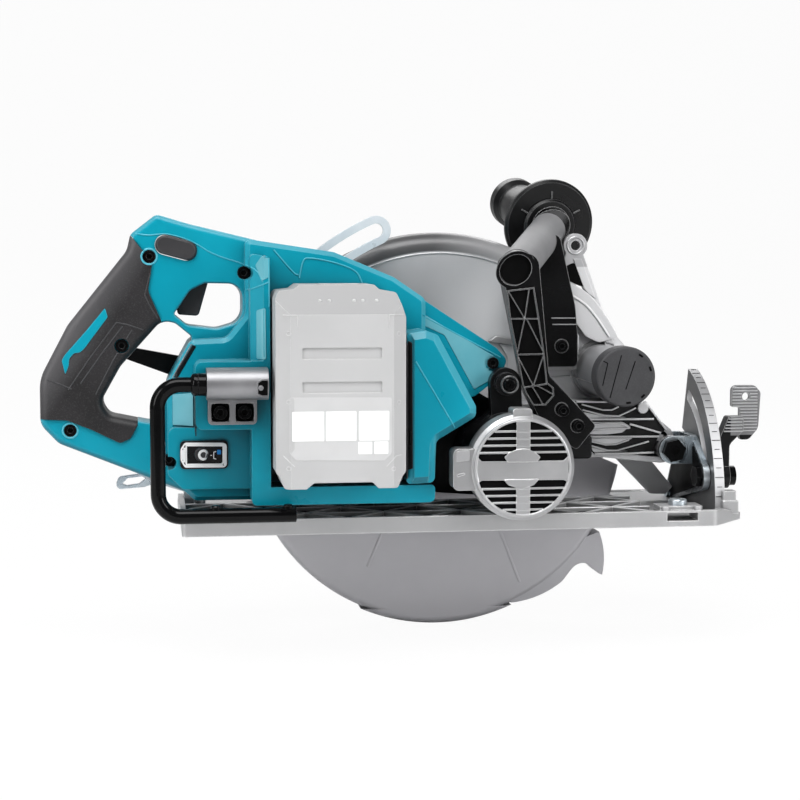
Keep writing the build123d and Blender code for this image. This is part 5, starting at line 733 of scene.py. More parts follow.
# painted shade: dark strip in the gap beside the battery
addPlate(bm, bodyParts["sideStrip"], housing, bodyParts["stripRise"], cell=bodyParts["cell"])
beadRows(bm, [bodyParts["rearStrip"]], housing, *bodyParts["stripBead"])
finishPiece(bm, "gapStrips", "blackNylon", "saw", soften=0.3)
# bright bead along the rear edge: painted highlight
bm = bmesh.new()
beadRows(bm, [bodyParts["rearLine"]], housing, *bodyParts["lineBead"])
finishPiece(bm, "rearHighlight", "satinSteel", "saw")
print("body dressed")


# control panel: printed frame, lamp and marks, ring on the button

panelParts = {
    "outer": [(-194.6, 61.4), (-168.7, 61), (-167.4, 59.6), (-167.5, 46.5), (-168.8, 45.4),
              (-194.7, 45.6), (-197.2, 50.2), (-197.2, 57.4)],
    "inner": [(-193.9, 60), (-169.2, 59.6), (-169.3, 48.2), (-170.4, 47), (-194, 47.1)],
    "outerCorner": 1.0, "innerCorner": 0.6, "line": 1.1, "stripeShare": 1.3, "rise": 0.25, "step": 0.8,
    "button": (-182.4, 53.5), "buttonRing": 2.9, "ringBead": (1.7, 0.2), "markBead": (0.6, 0.15, 0.6),
    "stripes": [[(-194.5, 60.7), (-168.8, 60.3)], [(-168.4, 60), (-168.4, 46.4)],
                [(-194.6, 46.3), (-169.4, 46.1)], [(-195.2, 58.6), (-195.4, 48.6)],
                [(-196.2, 57), (-196.2, 50.4)]],
    "marks": [[(-174, 55.7), (-175.6, 55.2), (-175.7, 51.1), (-174, 50.5)],
              [(-177.8, 53.1), (-176.9, 53.1)]],
    "lampCorner": 0.6, "lampRise": 0.3, "lampCell": 1.2,
    "lamp": [(-173.4, 53.7), (-170.8, 53.7), (-170.8, 56.8), (-173.4, 56.8)],
}
panelCarriers = ["control_panel", "housing_right"]
bm = bmesh.new()
line, rise = panelParts["line"], panelParts["rise"]
for frameLine in ("outer", "inner"):
    outline = roundedCorners(panelParts[frameLine], panelParts[frameLine + "Corner"], steps=3)
    loop = evenPath(outline + [outline[0]], panelParts["step"])
    addBead(bm, loop, panelCarriers, line, rise, closed=True)
beadRows(bm, panelParts["stripes"], panelCarriers, line * panelParts["stripeShare"], rise, panelParts["step"])
beadRows(bm, panelParts["marks"], panelCarriers, *panelParts["markBead"])
finishPiece(bm, "panelPrint", "whiteInk", "saw")
bm = bmesh.new()
lamp = roundedCorners(panelParts["lamp"], panelParts["lampCorner"])
addPlate(bm, lamp, panelCarriers, panelParts["lampRise"], cell=panelParts["lampCell"])
finishPiece(bm, "panelLamp", "blueLamp", "saw", soften=0.15)
bm = bmesh.new()
addRing(bm, panelParts["button"], panelParts["buttonRing"], ["panel_button"], *panelParts["ringBead"])
finishPiece(bm, "buttonRing", "whiteInk", "panel_button")
print("panel dressed")


# hanging hook: collar on the rod, stops on the low run, notch and screw wells of the clamp as dark plates of
# painted shade, and its pin

hookParts = {
    "axis": (0, -97, 103),
    "collar": [(-191.6, 3.0), (-191.2, 5.6), (-190.2, 7.0), (-188.6, 7.6), (-186.8, 7.4), (-185.7, 6.2),
               (-185.2, 6.3), (-184.9, 7.1), (-181.7, 7.1), (-181.3, 6.6), (-181.2, 3.0)],
    "stop": [(-3, 0.0), (-3, 3.4), (1.0, 3.3), (2.0, 2.4), (2.4, 0.0)],
    "wells": [(-172, 84), (-156, 84)], "wellReach": 6.0, "wellCorner": 3.0, "wellRise": 0.12,
    "wellCell": 1.5,
    "stops": [-175.6, -128.3], "stopsBelow": 60,
    "notch": [(-148, 104.3), (-145.4, 106), (-141.8, 106), (-141.8, 96.2), (-145.4, 96.2), (-148, 97.4)],
    "notchRim": [(-141.8, 106.9), (-145.6, 106.9), (-148.8, 104.8), (-148.8, 96.8), (-145.6, 95.2),
                 (-141.8, 95.2)],
    "notchRise": 0.15, "rimBead": (0.8, 0.4, 0.8), "pin": (-146.3, 101.2),
    "pinDome": [(-0.5, 0.0), (-0.5, 1.7), (0.5, 1.7), (0.9, 1.3), (1.0, 0.0)],
}
bm = bmesh.new()
addLathe(bm, hookParts["collar"], hookParts["axis"], (1, 0, 0))
for x in hookParts["stops"]:
    above = Vector((x * mm, hookParts["axis"][1] * mm, hookParts["stopsBelow"] * mm))
    spot = surfaceOf("hook_rod").ray_cast(above, Vector((0, 0, -1)))[0]
    if spot is not None:
        addLathe(bm, hookParts["stop"], spot / mm, (0, 0, 1), parts=24)
finishPiece(bm, "hookFittings", "blackSteel", "hook")
# dark plates: painted shade in the notch and the screw wells
bm = bmesh.new()
addPlate(bm, hookParts["notch"], ["hook_clamp"], hookParts["notchRise"])
reach = hookParts["wellReach"]
for x, z in hookParts["wells"]:
    well = roundedCorners(square(x - reach, x + reach, z - reach, z + reach), hookParts["wellCorner"])
    addPlate(bm, well, ["hook_clamp", "hook_clamp_screws"], hookParts["wellRise"], cell=hookParts["wellCell"])
finishPiece(bm, "clampNotchShade", "darkInk", "saw")
bm = bmesh.new()
beadRows(bm, [hookParts["notchRim"]], ["hook_clamp"], *hookParts["rimBead"])
pinSpot = landing(["hook_clamp"], *hookParts["pin"])[0] / mm
addLathe(bm, hookParts["pinDome"], pinSpot, (0, -1, 0), parts=24)
finishPiece(bm, "clampPin", "satinSteel", "saw")
print("hook dressed")


# battery: plain label with blank fields, moulded edge lines, dimples and blind vent pips

batteryParts = {
    "label": [(-128.6, 95.8), (-62.4, 95.1), (-62.4, 58.7), (-67.2, 54), (-124.5, 54.9), (-128.7, 59.3)],
    "fields": [(-127.2, -106.4, 67.2, 86.5), (-105.4, -85.4, 67.2, 86.5), (-83.9, -64, 67.2, 86.5),
               (-84.4, -75.2, 58.4, 66.6), (-73.9, -64.6, 58.4, 66.6)],
    "lines": [[(-132.5, 148.7), (-123.6, 148.6), (-123.2, 141.1)],
              [(-64.3, 141.2), (-63.8, 148.8), (-53.9, 148.7)], [(-132.5, 57.4), (-125.5, 50.6)],
              [(-65.8, 50.1), (-59.5, 56.7), (-55.6, 57.2)]],
    "pips": [(-108.3, 157.7), (-102.2, 157.7), (-86, 157.7), (-80.2, 157.7), (-71.3, 157.7)],
    "dimples": [(-129, 136.8), (-129.2, 92.8), (-57.3, 136.3), (-57.3, 91.8), (-129.4, 49.5), (-61, 48.5)],
    "labelCorner": 1.2, "labelRise": 0.2, "fieldCorner": 0.8, "fieldRise": 0.35, "cell": 5,
    "lineBead": (0.7, 0.35, 1.0), "dimple": 1.3, "dimpleBead": (0.5, 0.25),
    "pip": [(-0.6, 0.0), (-0.6, 1.2), (0.2, 1.2), (0.5, 0.8), (0.6, 0.0)],
}
batteryCase = ["battery_case"]
bm = bmesh.new()
label = roundedCorners(batteryParts["label"], batteryParts["labelCorner"])
addPlate(bm, label, batteryCase, batteryParts["labelRise"], cell=batteryParts["cell"])
finishPiece(bm, "batteryLabel", "paleLabel", "battery", soften=0.08)
bm = bmesh.new()
for limits in batteryParts["fields"]:
    field = roundedCorners(square(*limits), batteryParts["fieldCorner"])
    addPlate(bm, field, batteryCase, batteryParts["fieldRise"], cell=batteryParts["cell"])
finishPiece(bm, "labelFields", "whiteInk", "battery", soften=0.08)
bm = bmesh.new()
beadRows(bm, batteryParts["lines"], batteryCase, *batteryParts["lineBead"])
for spot in batteryParts["dimples"]:
    addRing(bm, spot, batteryParts["dimple"], batteryCase, *batteryParts["dimpleBead"], parts=20)
for x, z in batteryParts["pips"]:
    addLathe(bm, batteryParts["pip"], landing(batteryCase, x, z)[0] / mm, (0, -1, 0), parts=20)
finishPiece(bm, "batteryLines", "paleLabel", "battery")
print("battery dressed")


# motor end cover: dark ground of painted shade, slats, bars, band, hub plates and ring, facet and slot of the
# side lug

coverParts = {
    "centre": (29.3, 45.1), "face": -98.0,
    "ring": [(-0.5, 31.2), (1.2, 31.4), (1.7, 32.2), (1.2, 33.2), (-0.5, 33.6)],
    "opening": 31.4, "slatRise": 1.1, "slatHeight": 1.5, "slatPitch": 4.75, "slatCount": 4,
    "slatStart": 0.9,
    "shadeSheet": (0.2, 0.6), "barSheet": (1.2, 1.6), "bandSheet": (1.3, 1.8), "hubSheet": (1.9, 2.2),
    "hubCorner": 1.0, "seamBead": (0.7, 0.3, 0.8),
    "band": [(-2.2, 53.2), (1.1, 49.8), (56.8, 49.6), (60.2, 52.8), (60.2, 35), (56.8, 36.6), (1.1, 37),
             (-2.2, 34.8)],
    "bandTop": 49.8, "bandLow": 36.8, "bar": (24.6, 34),
    "hubTop": [(16.2, 52.4), (18.6, 49.2), (38.6, 49.2), (41, 52.2), (38, 55), (33.4, 57.4), (28.9, 58),
               (24.4, 57.5), (19.8, 55.7)],
    "hubLow": [(16, 37.4), (18.9, 33.7), (28, 30.7), (36.5, 33.5), (40, 37.4)],
    "seams": [[(22.8, 80.2), (23.5, 77)], [(35.8, 80.4), (35.8, 76.8)]],
    "lugFacet": [(-15.6, 56.6), (-6.8, 57.4), (-6.6, 50.2), (-15.8, 49.2)],
    "facetCorner": 1.0, "facetRise": 0.4, "slotCorner": 0.9, "slotBead": (0.5, 0.3),
    "lugSlot": [(-15.4, 40.6), (-10.4, 42), (-9.6, 41), (-14.8, 39.2)],
}
endCover = ["motor_end_cover"]
middleX, middleZ = coverParts["centre"]
opening = coverParts["opening"]
coverSides = ((coverParts["bandTop"], 1), (coverParts["bandLow"], -1))


def coverSheet(bm, outline, size):           # size: how far it stands proud, and its thickness
    proud, thick = size
    addSheet(bm, outline, coverParts["face"] - proud, thick)


bm = bmesh.new()
for level, up in coverSides:                 # painted shade: dark ground behind the slats
    start = degrees(asin(abs(level - middleZ) / opening))
    half = ringPath(coverParts["centre"], opening, up * start, up * (180 - start), parts=28)
    coverSheet(bm, half, coverParts["shadeSheet"])
finishPiece(bm, "coverSlatShade", "darkInk", "saw")
bm = bmesh.new()
for level, up in coverSides:
    for k in range(1, coverParts["slatCount"] + 1):
        height = level + up * (coverParts["slatPitch"] * k + coverParts["slatStart"])
        half = sqrt(opening ** 2 - (height - middleZ) ** 2)
        slat = [(middleX - half, height), (middleX + half, height)]
        addRib(bm, slat, coverParts["face"], coverParts["slatRise"], coverParts["slatHeight"])
    coverSheet(bm, square(*coverParts["bar"], level, middleZ + up * opening), coverParts["barSheet"])
coverSheet(bm, coverParts["band"], coverParts["bandSheet"])
for hub in (coverParts["hubTop"], coverParts["hubLow"]):
    coverSheet(bm, roundedCorners(hub, coverParts["hubCorner"]), coverParts["hubSheet"])
addLathe(bm, coverParts["ring"], (middleX, coverParts["face"], middleZ), (0, -1, 0), parts=96)
beadRows(bm, coverParts["seams"], endCover, *coverParts["seamBead"])
finishPiece(bm, "coverGrille", "endAlloy", "saw", soften=0.2)
bm = bmesh.new()
lugFacet = roundedCorners(coverParts["lugFacet"], coverParts["facetCorner"])
addPlate(bm, lugFacet, endCover, coverParts["facetRise"])
lugSlot = roundedCorners(coverParts["lugSlot"], coverParts["slotCorner"])
addBead(bm, lugSlot + [lugSlot[0]], endCover, *coverParts["slotBead"], closed=True)
finishPiece(bm, "coverLugFacet", "castAlloy", "saw", soften=0.15)
print("motor cover dressed")


# upper guard: pressed ridge inside the rim, ledge, port root, lug ring, web, window as a dark sheet of
# painted shade, boss in a darker alloy as painted shade

guardParts = {
    "arbor": (-8, 56.5), "ridgeRadius": 131.6, "ridgeArc": (150, 70), "ridgeBead": (1.3, 0.6),
    "frontStep": 1.5,
    "front": [(37.1, 181.4), (63, 173.5), (84, 164.6)],
    "ledge": [(75.8, 96.8), (92.1, 97.8), (97.5, 94.4)],
    "web": [(86, 166.5), (93, 164), (100, 160), (105.7, 154.8), (111, 148.2), (116.4, 140.6),
            (121.5, 132.2), (124.4, 126.4), (110, 122.4), (100, 127), (86, 146)],
    "strut": [(90.2, 184), (96.5, 184), (107.2, 155), (102.6, 157.6), (98.6, 162)], "webFace": 17.8,
    "webThick": 7,
    "webCorner": 2.0, "smallCorner": 1.0, "webLineStep": 2.0, "webLineRise": 0.8, "webLineWidth": 1.4,
    "panelFace": 23.6, "panelThick": 2.0, "bossFace": 21.6, "bossThick": 4.0,
    "opening": [(85, 178.5), (90, 181), (94, 179), (99.2, 166.2), (97.6, 163.4), (92, 165.6), (85, 168.6)],
    "openingCorner": 1.5, "openingFace": 18.3, "openingThick": 3.0,
    "webLine": [(87, 158.4), (93.5, 154.5), (100.3, 150), (108, 141), (114, 132), (117.6, 126.6)],
    "boss": [(28.8, 124), (34, 127.6), (44.3, 125.8), (49, 125.4), (49, 121.2), (44.5, 121.1),
             (36.6, 122.6), (32.2, 122.7)],
    "bossPanel": [(36.8, 121.8), (49, 120.6), (50, 100), (43.6, 100), (42.6, 112.4)],
    "port": (112, 102), "portRoot": 21.2, "portArc": (40, 320), "portBead": (1.6, 0.9),
    "lug": (92, 193.5), "lugRing": 6.1, "lugBead": (1.6, 0.6),
    "ledgeBead": (1.2, 0.6, 1.2), "seatBead": (1.4, 0.9, 1.0),
    "seat": [(74.9, 109.4), (88.9, 108.7), (92.6, 111.3), (93.2, 129.1), (90.2, 132.2)],
}
upperGuard = ["upper_guard"]
bm = bmesh.new()
ridge = ringPath(guardParts["arbor"], guardParts["ridgeRadius"], *guardParts["ridgeArc"], parts=60)
ridge += evenPath(guardParts["front"], guardParts["frontStep"])
addBead(bm, ridge, upperGuard, *guardParts["ridgeBead"])
beadRows(bm, [guardParts["ledge"]], upperGuard, *guardParts["ledgeBead"])
beadRows(bm, [guardParts["seat"]], upperGuard, *guardParts["seatBead"], lay=smoothPath)
portRoot = ringPath(guardParts["port"], guardParts["portRoot"], *guardParts["portArc"])
addBead(bm, portRoot, upperGuard, *guardParts["portBead"])
addRing(bm, guardParts["lug"], guardParts["lugRing"], upperGuard, *guardParts["lugBead"])
finishPiece(bm, "guardRidges", "castAlloy", "saw")
bm = bmesh.new()
small = guardParts["smallCorner"]
webFace, webThick = guardParts["webFace"], guardParts["webThick"]
addPanel(bm, guardParts["web"], guardParts["webCorner"], webFace, webThick)
addPanel(bm, guardParts["strut"], small, webFace, webThick)
addPanel(bm, guardParts["bossPanel"], small, guardParts["panelFace"], guardParts["panelThick"])
webLine = smoothPath(guardParts["webLine"], guardParts["webLineStep"])
addRib(bm, webLine, webFace, guardParts["webLineRise"], guardParts["webLineWidth"])
finishPiece(bm, "lugWeb", "guardShell", "saw", soften=0.4)
bm = bmesh.new()
# dark sheet: painted shade in the window of the web
addPanel(bm, guardParts["opening"], guardParts["openingCorner"], guardParts["openingFace"],
         guardParts["openingThick"])
finishPiece(bm, "lugOpeningShade", "darkInk", "saw")
bm = bmesh.new()
# darker alloy: painted shade on the band of the boss
addPanel(bm, guardParts["boss"], small, guardParts["bossFace"], guardParts["bossThick"])
finishPiece(bm, "guardBoss", "endAlloy", "saw", soften=0.6)
print("guard dressed")


# dust cap: moulded lines as dark beads, painted shade in the grooves, and rim ticks

capParts = {
    "lines": [[(108.5, 117.2), (100.5, 87.4)], [(118.4, 113), (111.8, 93.3)],
              [(95.6, 113.2), (98.7, 111.7), (95.2, 96.1)]],
    "centre": (112, 102), "rim": 18.2, "ticks": [55, 18, -48, -84], "tickHalf": 5,
    "lineBead": (0.7, 0.25, 1.0), "tickBead": (1.4, 0.5),
}
bm = bmesh.new()
# painted shade: dark beads along the moulded grooves
beadRows(bm, capParts["lines"], ["dust_cap"], *capParts["lineBead"])
half = capParts["tickHalf"]
for turn in capParts["ticks"]:
    tick = ringPath(capParts["centre"], capParts["rim"], turn - half, turn + half, parts=6)
    addBead(bm, tick, ["dust_cap"], *capParts["tickBead"])
finishPiece(bm, "capLines", "darkInk", "dust_cap")
print("dust cap dressed")


# bevel quadrant scale ticks, ribs on the lever tab, ring of the depth pivot and its socket as a dark hexagon
# of painted shade, dark sheet of painted shade on the bracket

scaleParts = {
    "axis": (43, 10), "x": 180.5, "half": 3.0, "angles": range(4, 76, 4), "thick": 0.35, "proud": 0.25,
    "castFrom": 200, "leastFacing": 0.9, "shortShare": 0.6, "buried": 0.4,
    "tabX": (180, 214), "tabZ": (61.5, 96), "probe": 0.5, "leastSpots": 6,
    "ribStart": 180, "ribPitch": 2.2, "ribBead": (1.0, 0.6, 1.5),
    "pivot": (157, 46), "socket": 3.4, "socketRise": 0.1, "socketCell": 1.5, "eye": 10.4,
    "eyeBead": (1.4, 0.6),
    "shadeOutline": [(-38.5, 24.5), (-40, 30), (-35, 37), (-12, 51.5), (18, 52.5), (24, 49), (47, 14), (45, 6),
               (40, 5), (-30, 21.6)],
    "shadeCorner": 3.0, "shadeX": 171.6, "shadeThick": 0.6,
}
bm = bmesh.new()
axis = Vector((scaleParts["x"], *scaleParts["axis"])) * mm
buried = scaleParts["buried"]
for angle in scaleParts["angles"]:
    out = Vector((0, -cos(radians(angle)), sin(radians(angle))))
    start = axis + out * (scaleParts["castFrom"] * mm)
    spot, normal, _, _ = surfaceOf("bevel_quadrant").ray_cast(start, -out)
    if spot is None or normal.dot(out) < scaleParts["leastFacing"]:
        continue
    along = Vector((0, out.z, -out.y)) * scaleParts["thick"] / 2
    reach = scaleParts["half"] if angle % 8 else scaleParts["half"] * scaleParts["shortShare"]
    long = Vector((reach, 0, 0))
    base = spot / mm - out * buried
    addBar(bm, base - long, base + long, along, out * (buried + scaleParts["proud"]))
finishPiece(bm, "scaleTicks", "darkInk", "base")
bm = bmesh.new()
left, right = scaleParts["tabX"]
z = scaleParts["tabZ"][0]
while z < scaleParts["tabZ"][1]:
    probes = [left + scaleParts["probe"] * k for k in range(int((right - left) / scaleParts["probe"]))]
    runs, run = [], []
    for x in probes:                         # a run ends where the tab or its hole ends
        hit = landing(["bevel_lever"], x, z)
        if hit and hit[1].y < -scaleParts["leastFacing"]:
            run.append(x)
        elif run:
            runs.append(run)
            run = []
    for run in runs + [run]:
        if len(run) > scaleParts["leastSpots"] and run[0] > scaleParts["ribStart"]:
            beadRows(bm, [[(run[1], z), (run[-2], z)]], ["bevel_lever"], *scaleParts["ribBead"])
    z += scaleParts["ribPitch"]
finishPiece(bm, "leverRibs", "castAlloy", "bevel_lever")
bm = bmesh.new()
# dark hexagon: painted shade in the socket of the pivot bolt
hexagon = ringPath(scaleParts["pivot"], scaleParts["socket"], 30, 390, parts=6)[:-1]
addPlate(bm, hexagon, ["pivot_bolt"], scaleParts["socketRise"], cell=scaleParts["socketCell"])
finishPiece(bm, "pivotSocketShade", "darkInk", "tilt_frame")
bm = bmesh.new()
addRing(bm, scaleParts["pivot"], scaleParts["eye"], ["front_bracket"], *scaleParts["eyeBead"])
finishPiece(bm, "pivotEye", "zincSteel", "tilt_frame")
bm = bmesh.new()
# dark sheet on the rear face of the bracket: painted shade
shadeOutline = roundedCorners(scaleParts["shadeOutline"], scaleParts["shadeCorner"])
addSlab(bm, [(scaleParts["shadeX"], *p) for p in shadeOutline], (scaleParts["shadeThick"], 0, 0))
finishPiece(bm, "bracketShade", "darkInk", "tilt_frame")
print("bevel and depth parts dressed")


# front handle: ribbed panel of the arm over a dark floor of painted shade, tube sleeve as painted reflection,
# flange collar and spokes, ear, step lines on the leg as painted highlights

armParts = {
    "face": -52, "floor": 0.3, "floorThick": 1.2, "rise": 2.4, "rimWidth": 1.25, "braceWidth": 0.9,
    "barShare": 0.95, "braceShare": 0.85,
    "rim": [(26.8, 162.2), (45.3, 164.2), (48.9, 143.2), (52.6, 119.4), (55, 98.5), (59.4, 95),
            (59.7, 89.7), (54.1, 83.4), (45.6, 83.3), (40.4, 91.8), (38.2, 97.7), (33.9, 119.1),
            (29, 143.3)],
    "bars": [[(29, 143.1), (48.6, 143)], [(33.7, 118.3), (52.8, 118.6)], [(39, 95.5), (54.8, 97.8)]],
    "braces": [[(27.4, 162.4), (39.1, 143.4)], [(42.3, 163.8), (39.3, 143.4)],
               [(39.1, 142.6), (34.3, 120)], [(40.8, 142.6), (52, 121)], [(34.2, 117.6), (45.1, 97.4)],
               [(52.6, 117.6), (45.9, 97.4)], [(45.1, 95.6), (52.5, 83.6)], [(48.9, 96.4), (59.4, 90.6)]],
    "tubeNear": (35, -48, 178), "tubeFar": (78, 38, 207.5), "gripEnd": (68, 134, 228.5),
    "mouthBack": 2.4, "mouthThick": 1.0, "bore": 9.9,
    "collar": [(1, 12), (1, 18.5), (2.6, 20), (4.2, 20), (4.2, 12)],
    "sleeve": [(3, 12.3), (3, 12.8), (92, 12.8), (92, 12.3)],
    "spokes": [-62, 0, 62], "spokeReach": (19.4, 25.6), "spokeWidth": 0.6, "spokeRise": 1.3,
    "flangeAt": 4.2,
    "ear": (28.8, -54, 97.6), "earRing": [(-0.5, 4.9), (0.8, 5.0), (1.3, 5.7), (0.8, 6.5), (-0.5, 6.6)],
    "earScrew": [(-0.5, 0.0), (-0.5, 4.4), (1.0, 4.4), (1.8, 3.6), (2.1, 0.0)],
    "earSlots": [20, 110], "slotReach": 2.6, "slotWidth": 0.5, "slotProud": 2.0, "slotRise": 0.25,
    "screws": [((66, 79.9), 4.6), ((77.3, 68.1), 4.6)], "legScrew": ((78, 121), 4.9),
    "screwBead": (1.0, 0.5),
    "steps": [[(70.4, 141.3), (89, 141.2)], [(71.1, 136.7), (89, 136.6)]], "stepBead": (0.9, 0.5, 1.0),
}
bm = bmesh.new()
# painted shade: dark floor sheet in the pockets of the ribbed panel
addSheet(bm, armParts["rim"], armParts["face"] - armParts["floor"], armParts["floorThick"])
tubeNear, tubeFar = Vector(armParts["tubeNear"]), Vector(armParts["tubeFar"])
tubeWay = (tubeFar - tubeNear).normalized()
flat = Vector((tubeWay.x, tubeWay.z)).normalized()
mouth = tubeNear - tubeWay * armParts["mouthBack"]
shade = [Vector((mouth.x, mouth.z)) + flat * (p.x / tubeWay.y) + Vector((-flat.y, flat.x)) * p.y
         for p in ringPath((0, 0), armParts["bore"], parts=40)[:-1]]
addSheet(bm, shade, mouth.y, armParts["mouthThick"])         # painted shade: dark sheet over the mouth of the tube
finishPiece(bm, "armPocketShade", "darkInk", "saw")
bm = bmesh.new()
gripWay = (Vector(armParts["gripEnd"]) - tubeFar).normalized()
addLathe(bm, armParts["collar"], tubeFar, gripWay, parts=56)
finishPiece(bm, "flangeCollar", "gripBlack", "saw")
bm = bmesh.new()
# painted reflection: grey sleeve on the black tube
addLathe(bm, armParts["sleeve"], tubeNear, tubeWay, parts=64)
finishPiece(bm, "tubeReflectionSleeve", "tubeReflection", "saw")
bm = bmesh.new()
gripUp = (Vector((0, 0, 1)) - gripWay * gripWay.z).normalized()
root = tubeFar + gripWay * armParts["flangeAt"]
for turn in armParts["spokes"]:              # short spokes on the near face of the flange
    spoke = gripUp * cos(radians(turn)) + gripWay.cross(gripUp) * sin(radians(turn))
    low, high = (root + spoke * r for r in armParts["spokeReach"])
    addBar(bm, low, high, gripWay.cross(spoke) * armParts["spokeWidth"], -gripWay * armParts["spokeRise"])
finishPiece(bm, "flangeSpokes", "ribNylon", "saw", soften=0.2)
bm = bmesh.new()
addLathe(bm, armParts["earRing"], armParts["ear"], (0, -1, 0), parts=48)
finishPiece(bm, "earRing", "ribNylon", "saw")
bm = bmesh.new()
# dark bars: painted shade in the cross recess of the ear screw
slotMiddle = Vector(armParts["ear"]) - Vector((0, armParts["slotProud"], 0))
for turn in armParts["earSlots"]:
    way = Vector((cos(radians(turn)), 0, sin(radians(turn))))
    low, high = (slotMiddle + way * r for r in (-armParts["slotReach"], armParts["slotReach"]))
    addBar(bm, low, high, Vector((-way.z, 0, way.x)) * armParts["slotWidth"], (0, -armParts["slotRise"], 0))
finishPiece(bm, "earCrossShade", "darkInk", "saw")
bm = bmesh.new()
addLathe(bm, armParts["earScrew"], armParts["ear"], (0, -1, 0), parts=32)
finishPiece(bm, "earScrew", "blackSteel", "saw")
bm = bmesh.new()
# ribs in the lighter nylon: painted highlight
face, rise = armParts["face"], armParts["rise"]
addRib(bm, armParts["rim"], face, rise, armParts["rimWidth"], closed=True)
ribRows(bm, armParts["bars"], face, rise * armParts["barShare"], armParts["rimWidth"])
ribRows(bm, armParts["braces"], face, rise * armParts["braceShare"], armParts["braceWidth"])
for centre, radius in armParts["screws"] + [armParts["legScrew"]]:
    addRing(bm, centre, radius, ["front_handle"], *armParts["screwBead"])
finishPiece(bm, "armRibs", "ribNylon", "saw")
bm = bmesh.new()
# painted highlights: pale step lines on the leg
beadRows(bm, armParts["steps"], ["front_handle"], *armParts["stepBead"])
finishPiece(bm, "legSteps", "litEdge", "saw")
print("front handle dressed")


# gear housing: ribs, waves, pads and pin of the front arm over a dark floor sheet of painted shade

gearParts = {
    "face": -8, "floor": 0.3, "floorThick": 1.0, "rise": 2.6, "ribWidth": 1.5,
    "waveWidth": 1.1, "waveShare": 0.85, "waveStep": 3.0, "padRise": 1.2, "padThick": 1.4,
    "padCorner": 1.0,
    "outline": [(86, 82), (106.3, 81.8), (136.5, 81), (140.8, 78), (153.6, 60.4), (148.6, 56.4),
                (146.4, 50.5), (144.5, 43.4), (101, 43), (97, 46.5), (97.2, 59), (98, 64.5)],
    "bars": [[(87, 81.4), (137.5, 80.8)], [(95, 68.6), (144.2, 68.2)], [(97.6, 56), (148.3, 55.4)],
             [(100.8, 43.6), (126, 43.4), (144.6, 43.8)], [(137.6, 81), (153.6, 60.2)],
             [(126.5, 64.8), (149.6, 58)]],
    "waves": [[(90.9, 79.4), (106.4, 75.2), (113.1, 75.2), (118, 77.4)],
              [(91.6, 75.4), (107.9, 71.2), (118.3, 70.7), (131, 76.4)],
              [(97.7, 60.9), (111.7, 61.8), (126.6, 61.8)],
              [(98, 64.5), (108.7, 65.8), (120.6, 64.9), (126.6, 62.3)],
              [(97.8, 52.4), (108.9, 49.8), (116.3, 50.1), (125.9, 53.2)],
              [(97.8, 49.4), (110.4, 45.8), (117.1, 45.7), (140.8, 51.9)]],
    "pads": [[(94, 66.6), (121, 66.4), (126.8, 63.2), (121, 58.6), (110, 57.4), (97.2, 57.6), (96.5, 60)],
             [(97.2, 54.8), (129, 54.6), (125.9, 53), (116.3, 49.8), (108.9, 49.6), (97.2, 52)],
             [(89, 74.4), (107.9, 70.8), (118.3, 70.4), (124, 69.6), (92, 69.6)],
             [(98, 48.4), (110.4, 45.4), (117.1, 45.4), (126, 45), (100, 44.6)]],
    "pin": [(-1, 0.0), (-1, 4.1), (3.0, 4.1), (3.6, 3.6), (3.8, 0.0)], "pinAt": (135.9, -8, 76.5),
}
bm = bmesh.new()
# painted shade: dark floor sheet in the pockets
addSheet(bm, gearParts["outline"], gearParts["face"] - gearParts["floor"], gearParts["floorThick"])
finishPiece(bm, "gearArmPocketShade", "gearFloor", "saw")
bm = bmesh.new()
for pad in gearParts["pads"]:
    addPanel(bm, pad, gearParts["padCorner"], gearParts["face"] - gearParts["padRise"], gearParts["padThick"])
finishPiece(bm, "gearArmPads", "castAlloy", "saw", soften=0.3)
bm = bmesh.new()
face, rise = gearParts["face"], gearParts["rise"]
ribRows(bm, gearParts["bars"], face, rise, gearParts["ribWidth"])
waves = [evenPath(wave, gearParts["waveStep"]) for wave in gearParts["waves"]]
ribRows(bm, waves, face, rise * gearParts["waveShare"], gearParts["waveWidth"])
addLathe(bm, gearParts["pin"], gearParts["pinAt"], (0, -1, 0))
finishPiece(bm, "gearArmRibs", "armCasting", "saw")
print("gear housing dressed")


# base plate: round posts at the fence slot and a stepped block on the front corner

baseParts = {
    "posts": [(134.4, -76.2), (157.6, -76.2)],
    "post": [(9.5, 0.0), (9.5, 2.7), (13.6, 2.7), (14.1, 2.2), (14.1, 0.0)],
    "stepLow": [(181, 5), (192.2, 5), (192.2, 14.4), (181, 14.4)],
    "stepHigh": [(181.4, 14), (190.6, 14), (190.6, 21.4), (181.4, 21.4)],
    "stepNear": -60, "stepDepth": 10, "stepInset": 1,
}
bm = bmesh.new()
for x, y in baseParts["posts"]:
    addLathe(bm, baseParts["post"], (x, y, 0), (0, 0, 1), parts=32)
near, depth, inset = baseParts["stepNear"], baseParts["stepDepth"], baseParts["stepInset"]
addSheet(bm, baseParts["stepLow"], near, depth)
addSheet(bm, baseParts["stepHigh"], near + inset, depth - 2 * inset)
finishPiece(bm, "baseFittings", "baseAlloy", "base", soften=0.5)
print("base dressed")


# stage, light and camera

stageLook = {
    "floor": ((0.86, 0.86, 0.86), (0.9, 0.9, 0.9)), "grain": 60, "rough": 0.9, "whiteShare": 0.95,
    "reach": 2.6, "front": -0.85, "bendStart": 1.6, "bend": 1.4, "wall": (3.0, 5), "steps": 24,
    "lens": 82.35, "sensor": 36, "farthest": 50,
    "eye": (-0.2217, -1.2923, 0.1918), "aim": (-0.0345, 0.040, 0.080),
}


